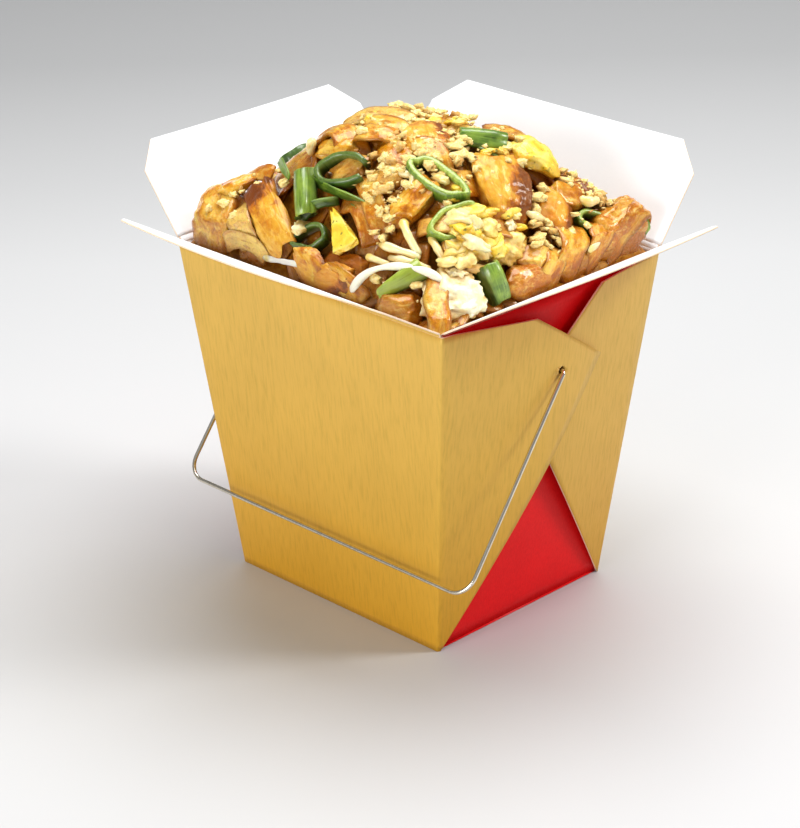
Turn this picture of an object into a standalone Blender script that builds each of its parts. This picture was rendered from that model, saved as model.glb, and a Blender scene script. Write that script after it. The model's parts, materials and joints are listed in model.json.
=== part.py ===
"""A noodle takeaway box: a folded paperboard pail heaped with food, four open flaps and a wire bail.

Metres, +Z up. The origin is the middle of the base, on the table. The front wall faces -Y, and the
webs, which fold round from the front and back walls, lie over the side walls at -X and +X.
"""
import math

import bmesh
import bpy
from mathutils import Matrix, Vector, noise

MM = 0.001

# Pail, outside. Its walls lean out from the base to the rim.
HEIGHT = 100.0 * MM
BASE_HALF_X, RIM_HALF_X = 39.7 * MM, 51.5 * MM
BASE_HALF_Y, RIM_HALF_Y = 33.5 * MM, 43.2 * MM
BOARD = 0.5 * MM
SIDE_BOW = 1.2 * MM          # how far a side wall's rim bows out at its middle
SIDE_CELLS = 8               # cells along a side wall, so that it can bow

# Webs: two layers of board, folded along a slanting line and pulled up by the bail.
WEB = 2 * BOARD + 0.2 * MM      # the last part of it is sunk in the wall at the corner
WEB_HEEL = 0.8 * MM          # width of a web where it starts, at the base
FOLD_LEAN = 0.657            # how far the fold runs across the wall for each unit of height
FRONT_WEB = {"rise": 5.1 * MM, "fall": 1.1 * MM, "peak": (-11.0 * MM, 96.4 * MM), "tip_z": 77.5 * MM}
BACK_WEB = {"rise": 3.4 * MM, "fall": 0.9 * MM, "peak": (-16.3 * MM, 98.5 * MM), "tip_z": 72.6 * MM}
WEB_CURVE = 1.4              # higher is a web that rises more steeply from its corner
WEB_PAST = 0.4               # share of half the depth past the middle in which a web falls by its "fall"
WEB_TUCK = 0.02 * MM         # a web starts this far past its corner's edge
WEB_STRIPS = 7

# Flaps: chamfered panels that turn on creases along the rim.
FLAP_DEPTH = {"x": 30.3 * MM, "y": 31.6 * MM}
FLAP_TILT = {"front": 30.4, "back": 49.2, "left": 49.2, "right": 30.0}
FLAP_HEADING = {"front": 180.0, "back": 0.0, "left": 90.0, "right": -90.0}
FLAP_STRAIGHT = 0.72         # part of the depth along which a flap's sides run straight
FLAP_CHAMFER = 0.098         # part of the width that each chamfer takes
FLAP_INSET = 0.012           # part of the width by which a flap's sides draw in
FLAP_SAG = {"front": 1.8 * MM, "back": 0.9 * MM, "left": 0.9 * MM, "right": 0.9 * MM}
CREASE = 0.45 * MM           # clear distance from a crease's axis to its flap
SIDE_CREASE = 0.4 * MM       # how far the side flaps' creases lie in from the corners
FLAP_CELLS = (6, 3)          # across and along

# Bail: a wire whose ends turn in through the walls.
WIRE_RADIUS = 0.6 * MM
HOLE_RADIUS = 1.2 * MM
PIVOT_Z = 78.0 * MM
BAIL_REACH = 66.1 * MM
BAIL_DROP = 53.3             # degrees below level
BAIL_HALF_WIDTH = 56.2 * MM
BAIL_BEND = 6.0 * MM
PIVOT_BEND = 1.2 * MM
BAIL_CLEAR = 0.4 * MM        # between the webs and the wire at its bends
WIRE_END = 0.6 * MM          # how far the wire reaches in past a side wall

# Food
GAP = 0.3 * MM
POCKET = 0.45 * MM           # how far a topping's pocket is larger than the topping
HEAP_START = 2.0 * MM        # how far below the rim the food meets the walls
HEAP_LEVEL = 11.0 * MM       # height above the rim, near the walls
HEAP_DIP = 13.0 * MM         # how much lower the corner at +X and -Y is
HEAP_SHOULDER = 10           # higher is a tighter rounding at the walls
HEAP_CROWN = 22.0 * MM       # how much higher the middle is
HEAP_SQUARE = 3.6            # higher is a boxier crown
HEAP_FALL = 3                # higher is a crown that starts to fall nearer the middle
LUMP_HEIGHT, LUMP_SIZE = 3.2 * MM, 11.0 * MM
LUMP_LEVEL = 0.45            # how far the lumps lie above the even surface, as a share of their height
LUMP_CREASE = 2.0            # depth of the creases between them
LUMP_FINE, LUMP_FINE_SIZE = 0.5, 1 / 2.3
LUMP_EDGE = 8                # higher is lumps that go on nearer to the walls
SLOPE_STEP = 4.0 * MM        # over which a topping's tilt is taken from the even surface
HEAP_CELLS_X, HEAP_CELLS_Y = 30, 26
SOFT_WOBBLE = 1.3            # higher is a more uneven piece, over the same size
SOFT_ARCH = 0.66             # where along an arched piece its middle line crosses its own level
ONION_STEPS = 16


def clear_scene():
    for obj in list(bpy.data.objects):
        bpy.data.objects.remove(obj, do_unlink=True)


def new_collection(name):
    collection = bpy.data.collections.new(name)
    bpy.context.scene.collection.children.link(collection)
    return collection


def make_material(name, colour, roughness, metallic=0.0):
    material = bpy.data.materials.new(name)
    material.use_nodes = True
    shader = material.node_tree.nodes["Principled BSDF"]
    shader.inputs["Base Color"].default_value = (*colour, 1.0)
    shader.inputs["Roughness"].default_value = roughness
    shader.inputs["Metallic"].default_value = metallic
    return material


def make_object(name, bm, collection, material=None):
    mesh = bpy.data.meshes.new(name)
    bm.to_mesh(mesh)
    bm.free()
    obj = bpy.data.objects.new(name, mesh)
    collection.objects.link(obj)
    if material:
        mesh.materials.append(material)
    return obj


def make_cutter(name, bm, cutters):
    obj = make_object(name, bm, cutters)
    obj.hide_render = True
    obj.display_type = "WIRE"
    return obj


def add_solidify(obj, thickness, offset=-1.0):
    solidify = obj.modifiers.new("board", "SOLIDIFY")
    solidify.thickness = thickness
    solidify.offset = offset
    solidify.use_even_offset = True


def add_boolean(obj, other, operation, solver="EXACT"):
    boolean = obj.modifiers.new(f"{operation.lower()} {other.name}", "BOOLEAN")
    boolean.operation = operation
    boolean.object = other
    boolean.solver = solver


def half_x(z):
    """Half the pail's outside width at height z, at the corner edges."""
    return BASE_HALF_X + (RIM_HALF_X - BASE_HALF_X) * z / HEIGHT


def half_y(z):
    """Half the pail's outside depth at height z."""
    return BASE_HALF_Y + (RIM_HALF_Y - BASE_HALF_Y) * z / HEIGHT


def bisect(bm, axis, values):
    """Cut every face of bm where it crosses the planes axis = value."""
    normal = Vector([1.0 if i == axis else 0.0 for i in range(3)])
    for value in values:
        geometry = bm.verts[:] + bm.edges[:] + bm.faces[:]
        bmesh.ops.bisect_plane(bm, geom=geometry, plane_co=normal * value, plane_no=normal)


def flat_panel(outline, strips_u, strips_v):
    """An open panel in the XY plane, facing +Z, with extra cuts across it so that it can be curved."""
    bm = bmesh.new()
    bm.faces.new([bm.verts.new((u, v, 0.0)) for u, v in outline])
    bm.normal_update()
    if bm.faces[:][0].normal.z < 0:
        bmesh.ops.reverse_faces(bm, faces=bm.faces[:])
    for axis, count in ((0, strips_u), (1, strips_v)):
        low = min(point[axis] for point in outline)
        high = max(point[axis] for point in outline)
        bisect(bm, axis, [low + (high - low) * i / count for i in range(1, count)])
    return bm


# ---------------------------------------------------------------- pail

def make_tub(collection, material):
    """Four leaning walls and the base, before the webs are joined on."""
    bm = bmesh.new()
    bmesh.ops.create_cube(bm, size=2.0)
    top = [face for face in bm.faces if face.normal.z > 0.5]
    bmesh.ops.delete(bm, geom=top, context="FACES_ONLY")
    bisect(bm, 1, [2 * i / SIDE_CELLS - 1 for i in range(1, SIDE_CELLS)])
    for vert in bm.verts:
        across, along, up = vert.co
        z = (up + 1) / 2 * HEIGHT
        bow = SIDE_BOW * (z / HEIGHT) * (1 - along * along)
        x = math.copysign(half_x(z) - 2 * BOARD + bow, across)
        vert.co = (x, along * half_y(z), z)
    tub = make_object("carton", bm, collection, material)
    add_solidify(tub, BOARD)
    return tub


def web_rise(web, share):
    """How far a web's outer face stands out, at a share of the way from its corner to the middle."""
    if share <= 1:
        return web["rise"] * (1 - (1 - share) ** WEB_CURVE)
    return web["rise"] - web["fall"] * ((share - 1) / WEB_PAST) ** 2


def make_web(name, web, side, end, cutters):
    """A web over the side wall at X = side, folded round from the wall at Y = end."""
    peak_y, peak_z = web["peak"]
    tip_z = web["tip_z"]
    foot = -BASE_HALF_Y
    outline = [
        (foot, 0.0),
        (foot + WEB_HEEL, 0.0),
        (foot + FOLD_LEAN * tip_z, tip_z),
        (peak_y, peak_z),
        (-RIM_HALF_Y, HEIGHT),
    ]
    bm = flat_panel(outline, WEB_STRIPS, 2)
    for vert in bm.verts:
        y, z = vert.co.x, vert.co.y
        share = max(0.0, (y + half_y(z)) / half_y(z))
        y = max(y, WEB_TUCK - half_y(z))
        vert.co = (side * (half_x(z) + web_rise(web, share)), -end * y, z)
    bm.normal_update()
    if bm.faces[:][0].normal.x * side < 0:
        bmesh.ops.reverse_faces(bm, faces=bm.faces[:])
    obj = make_cutter(name, bm, cutters)
    add_solidify(obj, WEB)
    return obj


def pivot_cutter(name, radius, start_x, stop_x, cutters):
    """Two cylinders on the bail's pivot line, one on each side, from start_x out to stop_x."""
    bm = bmesh.new()
    for side in (-1, 1):
        cone = bmesh.ops.create_cone(bm, cap_ends=True, segments=16, radius1=radius, radius2=radius,
                                     depth=stop_x - start_x)
        bmesh.ops.rotate(bm, verts=cone["verts"], matrix=Matrix.Rotation(math.pi / 2, 3, "Y"))
        middle = Vector((side * (start_x + stop_x) / 2, 0.0, PIVOT_Z))
        bmesh.ops.translate(bm, verts=cone["verts"], vec=middle)
    return make_cutter(name, bm, cutters)


def make_carton(collection, cutters):
    material = make_material("gold board", (0.68, 0.43, 0.10), 0.45, 0.2)
    carton = make_tub(collection, material)
    for side_name, side in (("left", -1), ("right", 1)):
        for end_name, end, web in (("front", -1, FRONT_WEB), ("back", 1, BACK_WEB)):
            piece = make_web(f"web_{side_name}_{end_name}", web, side, end, cutters)
            add_boolean(carton, piece, "UNION")
    inside, outside = half_x(PIVOT_Z) - 6 * BOARD, RIM_HALF_X + 2 * FRONT_WEB["rise"]
    holes = pivot_cutter("bail_holes", HOLE_RADIUS, inside, outside, cutters)
    add_boolean(carton, holes, "DIFFERENCE")
    return carton


# ---------------------------------------------------------------- flaps

def make_flap(side_name, collection, material):
    """One flap. Its origin is on its crease, its own +Y runs out along it and its +Z is its white face."""
    faces_x = side_name in ("left", "right")
    half_width = RIM_HALF_Y if faces_x else RIM_HALF_X
    depth = FLAP_DEPTH["x" if faces_x else "y"]
    inset, chamfer = 2 * half_width * FLAP_INSET, 2 * half_width * FLAP_CHAMFER
    right_edge = [
        (half_width - GAP, CREASE),
        (half_width - inset, FLAP_STRAIGHT * depth),
        (half_width - chamfer, depth),
    ]
    outline = right_edge + [(-u, v) for u, v in reversed(right_edge)]
    bm = flat_panel(outline, *FLAP_CELLS)
    for vert in bm.verts:
        across, out = vert.co.x / half_width, vert.co.y / depth
        vert.co.z = -FLAP_SAG[side_name] * (1 - across * across) * out * out
    flap = make_object(f"flap_{side_name}", bm, collection, material)
    add_solidify(flap, BOARD, 0.0)
    tilt = math.radians(FLAP_TILT[side_name])
    heading = math.radians(FLAP_HEADING[side_name])
    flap.rotation_euler = (tilt, 0.0, heading)
    out_y = RIM_HALF_X - SIDE_CREASE if faces_x else RIM_HALF_Y
    flap.location = Matrix.Rotation(heading, 3, "Z") @ Vector((0.0, out_y, HEIGHT + CREASE))
    return flap


# ---------------------------------------------------------------- bail

def filleted(corners, radii, step=math.radians(15)):
    """The points of a path through the corners, with each inner corner rounded to its radius."""
    points = [corners[0]]
    for before, corner, after, radius in zip(corners, corners[1:], corners[2:], radii):
        back, ahead = (before - corner).normalized(), (after - corner).normalized()
        half = back.angle(ahead) / 2
        centre = corner + (back + ahead).normalized() * (radius / math.sin(half))
        start = corner + back * (radius / math.tan(half)) - centre
        stop = corner + ahead * (radius / math.tan(half)) - centre
        turn, axis = start.angle(stop), start.cross(stop)
        count = max(2, round(turn / step))
        points += [centre + Matrix.Rotation(turn * i / count, 3, axis) @ start for i in range(count + 1)]
    return points + [corners[-1]]


def make_bail(collection):
    """A wire bail, modelled about its pivot line, which runs along X through both walls."""
    drop = math.radians(BAIL_DROP)
    bar_y, bar_z = -BAIL_REACH * math.cos(drop), -BAIL_REACH * math.sin(drop)
    outside = half_x(PIVOT_Z) + FRONT_WEB["rise"] + WIRE_RADIUS + BAIL_CLEAR
    inside = half_x(PIVOT_Z) - 3 * BOARD - WIRE_END
    right_half = [Vector((inside, 0, 0)), Vector((outside, 0, 0)), Vector((BAIL_HALF_WIDTH, bar_y, bar_z))]
    corners = right_half + [Vector((-point.x, point.y, point.z)) for point in reversed(right_half)]
    points = filleted(corners, [PIVOT_BEND, BAIL_BEND, BAIL_BEND, PIVOT_BEND])
    curve = bpy.data.curves.new("bail", "CURVE")
    curve.dimensions = "3D"
    curve.bevel_depth = WIRE_RADIUS
    curve.bevel_resolution = 2
    curve.use_fill_caps = True
    spline = curve.splines.new("POLY")
    spline.points.add(len(points) - 1)
    for target, point in zip(spline.points, points):
        target.co = (*point, 1.0)
    spline.use_smooth = True
    curve.materials.append(make_material("steel wire", (0.55, 0.54, 0.52), 0.3, 1.0))
    bail = bpy.data.objects.new("bail", curve)
    bail.location = (0.0, 0.0, PIVOT_Z)
    collection.objects.link(bail)


# ---------------------------------------------------------------- food

def heap_dome(x, y):
    """Height of the food's even surface: a crown over a level that dips towards one corner."""
    across = min(1.0, abs(x) / RIM_HALF_X)
    along = min(1.0, abs(y) / RIM_HALF_Y)
    towards_dip = max(0.0, (x / RIM_HALF_X - y / RIM_HALF_Y) / 2)
    level = HEAP_LEVEL - HEAP_DIP * towards_dip
    shoulder = math.sqrt((1 - across ** HEAP_SHOULDER) * (1 - along ** HEAP_SHOULDER))
    crown = ((1 - across ** HEAP_SQUARE) * (1 - along ** HEAP_SQUARE)) ** HEAP_FALL
    return HEIGHT - HEAP_START + (HEAP_START + level) * shoulder + HEAP_CROWN * crown


def heap_surface(x, y):
    """The uneven surface: rounded lumps with creases between them, which fade out at the walls."""
    place = Vector((x, y, 0.0)) / LUMP_SIZE
    fine = LUMP_FINE * noise.noise(place / LUMP_FINE_SIZE)
    lump = LUMP_LEVEL - LUMP_CREASE * abs(noise.noise(place)) + fine
    fade = min(1.0, (1 - max(abs(x) / RIM_HALF_X, abs(y) / RIM_HALF_Y)) * LUMP_EDGE)
    return heap_dome(x, y) + LUMP_HEIGHT * lump * fade


def heap_normal(x, y):
    step = SLOPE_STEP
    slope_x = (heap_dome(x + step, y) - heap_dome(x - step, y)) / (2 * step)
    slope_y = (heap_dome(x, y + step) - heap_dome(x, y - step)) / (2 * step)
    return Vector((-slope_x, -slope_y, 1.0)).normalized()


def make_heap(collection, cutters):
    """The noodles and all that is mixed into them, down to the base, as one solid."""
    bm = bmesh.new()
    bmesh.ops.create_grid(bm, x_segments=HEAP_CELLS_X, y_segments=HEAP_CELLS_Y, size=1.0)
    rim_x = RIM_HALF_X - 3 * BOARD - GAP
    rim_y = RIM_HALF_Y - BOARD - GAP
    for vert in bm.verts:
        x, y = (math.sin(share * math.pi / 2) for share in vert.co.xy)
        x, y = x * rim_x, y * rim_y
        vert.co = (x, y, heap_surface(x, y))
    rim_edges = [edge for edge in bm.edges if edge.is_boundary]
    extruded = bmesh.ops.extrude_edge_only(bm, edges=rim_edges)["geom"]
    bottom_z = BOARD + GAP
    scale_x = (half_x(bottom_z) - 3 * BOARD - GAP) / rim_x
    scale_y = (half_y(bottom_z) - BOARD - GAP) / rim_y
    for vert in [item for item in extruded if isinstance(item, bmesh.types.BMVert)]:
        vert.co = (vert.co.x * scale_x, vert.co.y * scale_y, bottom_z)
    bmesh.ops.holes_fill(bm, edges=[edge for edge in bm.edges if edge.is_boundary], sides=0)
    bmesh.ops.recalc_face_normals(bm, faces=bm.faces[:])
    heap = make_object("noodles", bm, collection, make_material("noodles", (0.60, 0.33, 0.11), 0.35))
    inside, outside = half_x(PIVOT_Z) - 8 * BOARD, half_x(PIVOT_Z) + 2 * BOARD
    ends = pivot_cutter("wire_pockets", HOLE_RADIUS, inside, outside, cutters)
    add_boolean(heap, ends, "DIFFERENCE", "MANIFOLD")
    return heap


def wobble(place, seed):
    """A smooth shift for each place, other for each seed, with each part of it about -0.5 to 0.5."""
    start = place * SOFT_WOBBLE + Vector((seed * 7.3, seed * 3.1, seed * 5.7))
    return Vector([noise.noise(start + Vector((offset, -offset, offset))) for offset in (0.0, 11.7, 23.9)])


def soft_mesh(size, grow=0.0, bend=0.0, taper=0.0, rough=0.12, seed=0):
    """A rounded slab of food: length, width and thickness, bent along its length and uneven."""
    bm = bmesh.new()
    bmesh.ops.create_cube(bm, size=1.0)
    bmesh.ops.subdivide_edges(bm, edges=bm.edges[:], cuts=1, use_grid_fill=True)
    half_length, half_width, half_thickness = (value * MM / 2 + grow for value in size)
    for vert in bm.verts:
        place = vert.co * 2
        along, across, up = place + wobble(place, seed) * rough
        across *= 1 - taper * (along + 1) / 2
        arch = bend * half_length * (SOFT_ARCH - along * along)
        vert.co = (along * half_length, across * half_width, up * half_thickness + arch)
    return bm


def make_soft(name, collection, material, size, grow=0.0, **shape):
    obj = make_object(name, soft_mesh(size, grow, **shape), collection, material)
    subdivision = obj.modifiers.new("round", "SUBSURF")
    subdivision.levels = 1
    subdivision.render_levels = 1
    obj.data.shade_smooth()
    return obj


def onion_mesh(size, grow=0.0, arc=360.0, slant=0.0):
    """The outer skin of a slice of leaf about its own Z: a tube, or a part of one centred on +X."""
    long_radius, short_radius, length = (size[0] * MM + grow, size[1] * MM + grow, size[2] * MM + 2 * grow)
    bm = bmesh.new()
    start = math.radians(-arc / 2)
    ends = [bm.verts.new((math.cos(start), math.sin(start), z)) for z in (-length / 2, length / 2)]
    edge = bm.edges.new(ends)
    bmesh.ops.spin(bm, geom=ends + [edge], axis=(0, 0, 1), cent=(0, 0, 0),
                   angle=math.radians(arc), steps=round(ONION_STEPS * arc / 360), use_duplicate=False)
    bmesh.ops.remove_doubles(bm, verts=bm.verts[:], dist=1e-4)
    for vert in bm.verts:
        x, y = vert.co.x * long_radius, vert.co.y * short_radius
        vert.co = (x, y, vert.co.z + slant * x)
    bm.normal_update()
    face = bm.faces[:][0]
    middle = face.calc_center_median()
    if face.normal.x * middle.x + face.normal.y * middle.y < 0:
        bmesh.ops.reverse_faces(bm, faces=bm.faces[:])
    return bm


def make_onion(name, collection, material, size, grow=0.0, **shape):
    """A slice of leaf standing on its cut end, as a ring does."""
    obj = make_object(name, onion_mesh(size, grow, **shape), collection, material)
    add_solidify(obj, size[3] * MM + 2 * grow)
    return obj


def make_onion_tube(name, collection, material, size, grow=0.0, **shape):
    """A longer slice, which lies on its side. Its pocket, the grown one, takes its whole outline."""
    if not grow:
        return make_onion(name, collection, material, size, **shape)
    bm = onion_mesh(size, grow, **shape)
    bmesh.ops.holes_fill(bm, edges=[edge for edge in bm.edges if edge.is_boundary], sides=0)
    return make_object(name, bm, collection, material)


def lay_on_heap(obj, place, turn):
    """Lay a piece on the heap, its own X turned to a heading, then pitched and rolled."""
    x, y, lift = (value * MM for value in place)
    heading, pitch, roll = (math.radians(value) for value in turn)
    up = heap_normal(x, y)
    upright = Vector((0, 0, 1)).rotation_difference(up).to_matrix()
    spin = Matrix.Rotation(heading, 3, "Z") @ Matrix.Rotation(pitch, 3, "Y") @ Matrix.Rotation(roll, 3, "X")
    where = Vector((x, y, heap_dome(x, y))) + up * lift
    obj.matrix_world = Matrix.Translation(where) @ (upright @ spin).to_4x4()


def make_toppings(heap, collection, cutters):
    """Every topping, each lying in a pocket of its own in the heap."""
    materials = {name: make_material(name, *look) for name, look in FOOD_LOOKS.items()}
    for name, look, make, size, shape, place, turn in TOPPINGS:
        lay_on_heap(make(name, collection, materials[look], size, **shape), place, turn)
        pocket = make(f"pocket_{name}", cutters, None, size, grow=POCKET, **shape)
        pocket.hide_render = True
        pocket.display_type = "WIRE"
        lay_on_heap(pocket, place, turn)
        add_boolean(heap, pocket, "DIFFERENCE", "MANIFOLD")


# Colour, roughness
FOOD_LOOKS = {
    "chicken": ((0.72, 0.36, 0.12), 0.4),
    "onion": ((0.10, 0.30, 0.06), 0.35),
    "egg": ((0.85, 0.62, 0.16), 0.4),
}

# Name, look, maker, size in mm, shape, place (x, y, lift in mm), turn (heading, pitch, roll in degrees).
# A soft piece's size is its length, width and thickness; a slice of leaf's is its long radius, its
# short radius, its length and its wall.
TOPPINGS = [
    ("chicken_left", "chicken", make_soft, (25, 9.5, 4.6), {"bend": 0.12, "seed": 1},
     (-20.6, -34.4, 1.6), (147, 0, 0)),
    ("chicken_top", "chicken", make_soft, (17, 12, 6), {"bend": 0.1, "seed": 2}, (7.5, -3.5, 1), (-40, 0, 0)),
    ("chicken_middle", "chicken", make_soft, (21, 14, 7), {"bend": 0.15, "seed": 3},
     (29, 2.5, 0.5), (-20, 0, 0)),
    ("chicken_right", "chicken", make_soft, (15, 10, 6), {"bend": 0.1, "seed": 4},
     (37.5, 13.5, 0), (-45, 0, 0)),
    ("chicken_back", "chicken", make_soft, (15, 9, 5), {"bend": 0.15, "seed": 5}, (31, 30.5, 0), (0, 0, 0)),
    ("chicken_front", "chicken", make_soft, (13, 9, 5), {"bend": 0.05, "seed": 6},
     (8.5, -36.9, -1.1), (10, 0, 0)),
    ("onion_tube", "onion", make_onion_tube, (3.6, 2.8, 14, 0.9), {"slant": 0.3},
     (-12, -28.2, 2.7), (125, 90, 0)),
    ("onion_loop_left", "onion", make_onion, (8.5, 5, 4.5, 0.8), {"arc": 290}, (-4, -22, 2.5), (200, 0, 0)),
    ("onion_loop_low", "onion", make_onion, (5.5, 3.6, 4, 0.8), {}, (-4.5, -34.6, 1.5), (30, 0, 0)),
    ("onion_loop_middle", "onion", make_onion, (9.5, 4.5, 4.5, 1), {}, (20, -13, 2), (5, 0, 0)),
    ("onion_loop_right", "onion", make_onion, (7.2, 4.4, 4.5, 1), {}, (29.5, -17, 2), (85, 0, 0)),
    ("onion_slab", "onion", make_onion, (3.6, 3, 13, 1), {"arc": 170}, (17.5, 7, 2), (46, -90, 0)),
    ("onion_leaf", "onion", make_onion, (4.5, 3.5, 14, 1), {"arc": 150}, (28.6, -34.0, 1.0), (66, -90, 0)),
    ("onion_end", "onion", make_onion_tube, (4.3, 3.3, 11, 1), {}, (43.7, -16.5, 0.9), (0, 115, 0)),
    ("onion_ring", "onion", make_onion, (5.4, 3.6, 3.5, 0.8), {}, (43, 24, 1), (46, 0, 0)),
    ("onion_tip", "onion", make_onion_tube, (2, 1.6, 6, 0.6), {}, (46.8, 39.4, 2), (46, 90, 0)),
    ("egg_fold", "egg", make_soft, (13, 9, 6), {"rough": 0.3, "seed": 7}, (38.2, -7.0, 0.4), (72, 0, 0)),
    ("egg_pale", "egg", make_soft, (15, 12.5, 5.5), {"rough": 0.3, "seed": 8}, (40.8, -28.2, 0.4), (46, 0, 0)),
    ("omelette_wedge", "egg", make_soft, (13, 8, 2.5), {"taper": 0.9, "seed": 9},
     (4.4, -31.2, 3), (141, 0, 0)),
    ("omelette_curl", "egg", make_soft, (14, 12, 5), {"bend": 0.2, "seed": 10}, (25, 19.5, 1), (60, 0, 0)),
]


def main():
    clear_scene()
    parts = new_collection("noodle_box")
    cutters = new_collection("cutters")
    make_carton(parts, cutters)
    flap_material = make_material("white board", (0.90, 0.90, 0.89), 0.55)
    for side_name in FLAP_TILT:
        make_flap(side_name, parts, flap_material)
    make_bail(parts)
    heap = make_heap(parts, cutters)
    make_toppings(heap, parts, cutters)


main()
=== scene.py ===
"""Looks of the noodle takeaway box: its board, wire and food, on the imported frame.

Metres, +Z up. The front wall faces -Y. Food is laid on an even dome, shaped like the top of the CAD heap, in
millimetres from the middle of the box and from that dome.
"""
import functools
import json
import math
import random

import bmesh
import bpy
import numpy as np
from mathutils import Matrix, Vector, noise


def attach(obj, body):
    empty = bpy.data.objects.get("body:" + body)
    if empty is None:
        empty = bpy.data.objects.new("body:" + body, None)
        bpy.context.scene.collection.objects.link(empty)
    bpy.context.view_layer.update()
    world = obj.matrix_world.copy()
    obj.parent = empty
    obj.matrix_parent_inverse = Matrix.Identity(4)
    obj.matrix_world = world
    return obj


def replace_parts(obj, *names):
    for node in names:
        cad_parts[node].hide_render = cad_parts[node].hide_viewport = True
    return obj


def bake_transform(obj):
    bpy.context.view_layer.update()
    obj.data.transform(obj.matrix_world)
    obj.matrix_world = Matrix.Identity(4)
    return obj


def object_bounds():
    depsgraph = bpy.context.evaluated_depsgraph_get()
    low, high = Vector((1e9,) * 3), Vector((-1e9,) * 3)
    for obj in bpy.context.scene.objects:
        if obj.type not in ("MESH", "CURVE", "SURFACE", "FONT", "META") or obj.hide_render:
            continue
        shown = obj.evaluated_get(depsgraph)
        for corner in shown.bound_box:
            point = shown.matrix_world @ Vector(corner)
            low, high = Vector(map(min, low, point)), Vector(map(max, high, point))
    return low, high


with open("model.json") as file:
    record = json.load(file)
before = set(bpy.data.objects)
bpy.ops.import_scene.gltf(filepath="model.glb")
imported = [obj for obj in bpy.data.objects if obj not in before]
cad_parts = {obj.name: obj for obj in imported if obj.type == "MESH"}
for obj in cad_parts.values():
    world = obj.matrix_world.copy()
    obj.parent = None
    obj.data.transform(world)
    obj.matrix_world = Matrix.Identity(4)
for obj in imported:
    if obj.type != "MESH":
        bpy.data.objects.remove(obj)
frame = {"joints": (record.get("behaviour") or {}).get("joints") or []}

CAD_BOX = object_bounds()
JOINT_AT = {joint["name"]: joint["pos_m"] for joint in frame["joints"]}
MM = 0.001

# Pail, as in the CAD model
BOARD = 0.5 * MM
HEIGHT = 100.0 * MM
RIM_HALF_X = JOINT_AT["right_crease"][0] + 0.4 * MM
RIM_HALF_Y = JOINT_AT["back_crease"][1]
BASE_HALF_X, BASE_HALF_Y = 39.7 * MM, 33.5 * MM
SIDE_BOW = 1.2 * MM
SIDE_GAP = 0.3 * MM                  # from a side wall's upright edges to the end walls
WALL_TOP = HEIGHT - 0.5 * MM         # the crease strips go on from here
CREASE_Z = JOINT_AT["front_crease"][2]
CORNER_RADIUS = 0.7 * MM

# Webs: how far they stand out, and where their free edge is
WEB_HEEL = 0.8 * MM
FOLD_LEAN = 0.657
FRONT_WEB = {"rise": 5.1 * MM, "fall": 1.1 * MM, "peak": (-11.0 * MM, 96.4 * MM), "tip_z": 77.5 * MM}
BACK_WEB = {"rise": 3.4 * MM, "fall": 0.9 * MM, "peak": (-16.3 * MM, 98.5 * MM), "tip_z": 72.6 * MM}

# Flaps: tilt above level, and how far the free edge sags at its middle
FLAPS = {
    "front": {"depth": 31.6 * MM, "tilt": 30.4, "heading": 180.0, "sag": 1.8 * MM},
    "back": {"depth": 31.6 * MM, "tilt": 49.2, "heading": 0.0, "sag": 0.9 * MM},
    "left": {"depth": 30.3 * MM, "tilt": 49.2, "heading": 90.0, "sag": 0.9 * MM},
    "right": {"depth": 30.3 * MM, "tilt": 30.0, "heading": -90.0, "sag": 0.9 * MM},
}
FLAP_STRAIGHT, FLAP_CHAMFER, FLAP_INSET, FLAP_ROUNDING = 0.72, 0.098, 0.012, 0.05
FLAP_GAP = 0.3 * MM                  # from a flap's corners to its neighbours' creases
FLAP_START = 0.6 * MM

# Bail
WIRE_RADIUS = 0.6 * MM
HOLE_RADIUS = 1.2 * MM
PIVOT_Z = JOINT_AT["handle_swing"][2]
BAIL_REACH, BAIL_DROP, BAIL_HALF_WIDTH = 66.1 * MM, 53.3, 56.2 * MM
BAIL_BEND, PIVOT_BEND = 6.0 * MM, 1.2 * MM

# Steps of the sheets' grids
WALL_ROWS, WALL_STEPS, CORNER_STEPS, WEB_STEPS = 40, 24, 5, 16
SIDE_STEPS, FLAP_ROWS, FLAP_STEPS, CREASE_STEPS = 24, 28, 32, 24


# ---------------------------------------------------------------- nodes and materials

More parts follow.
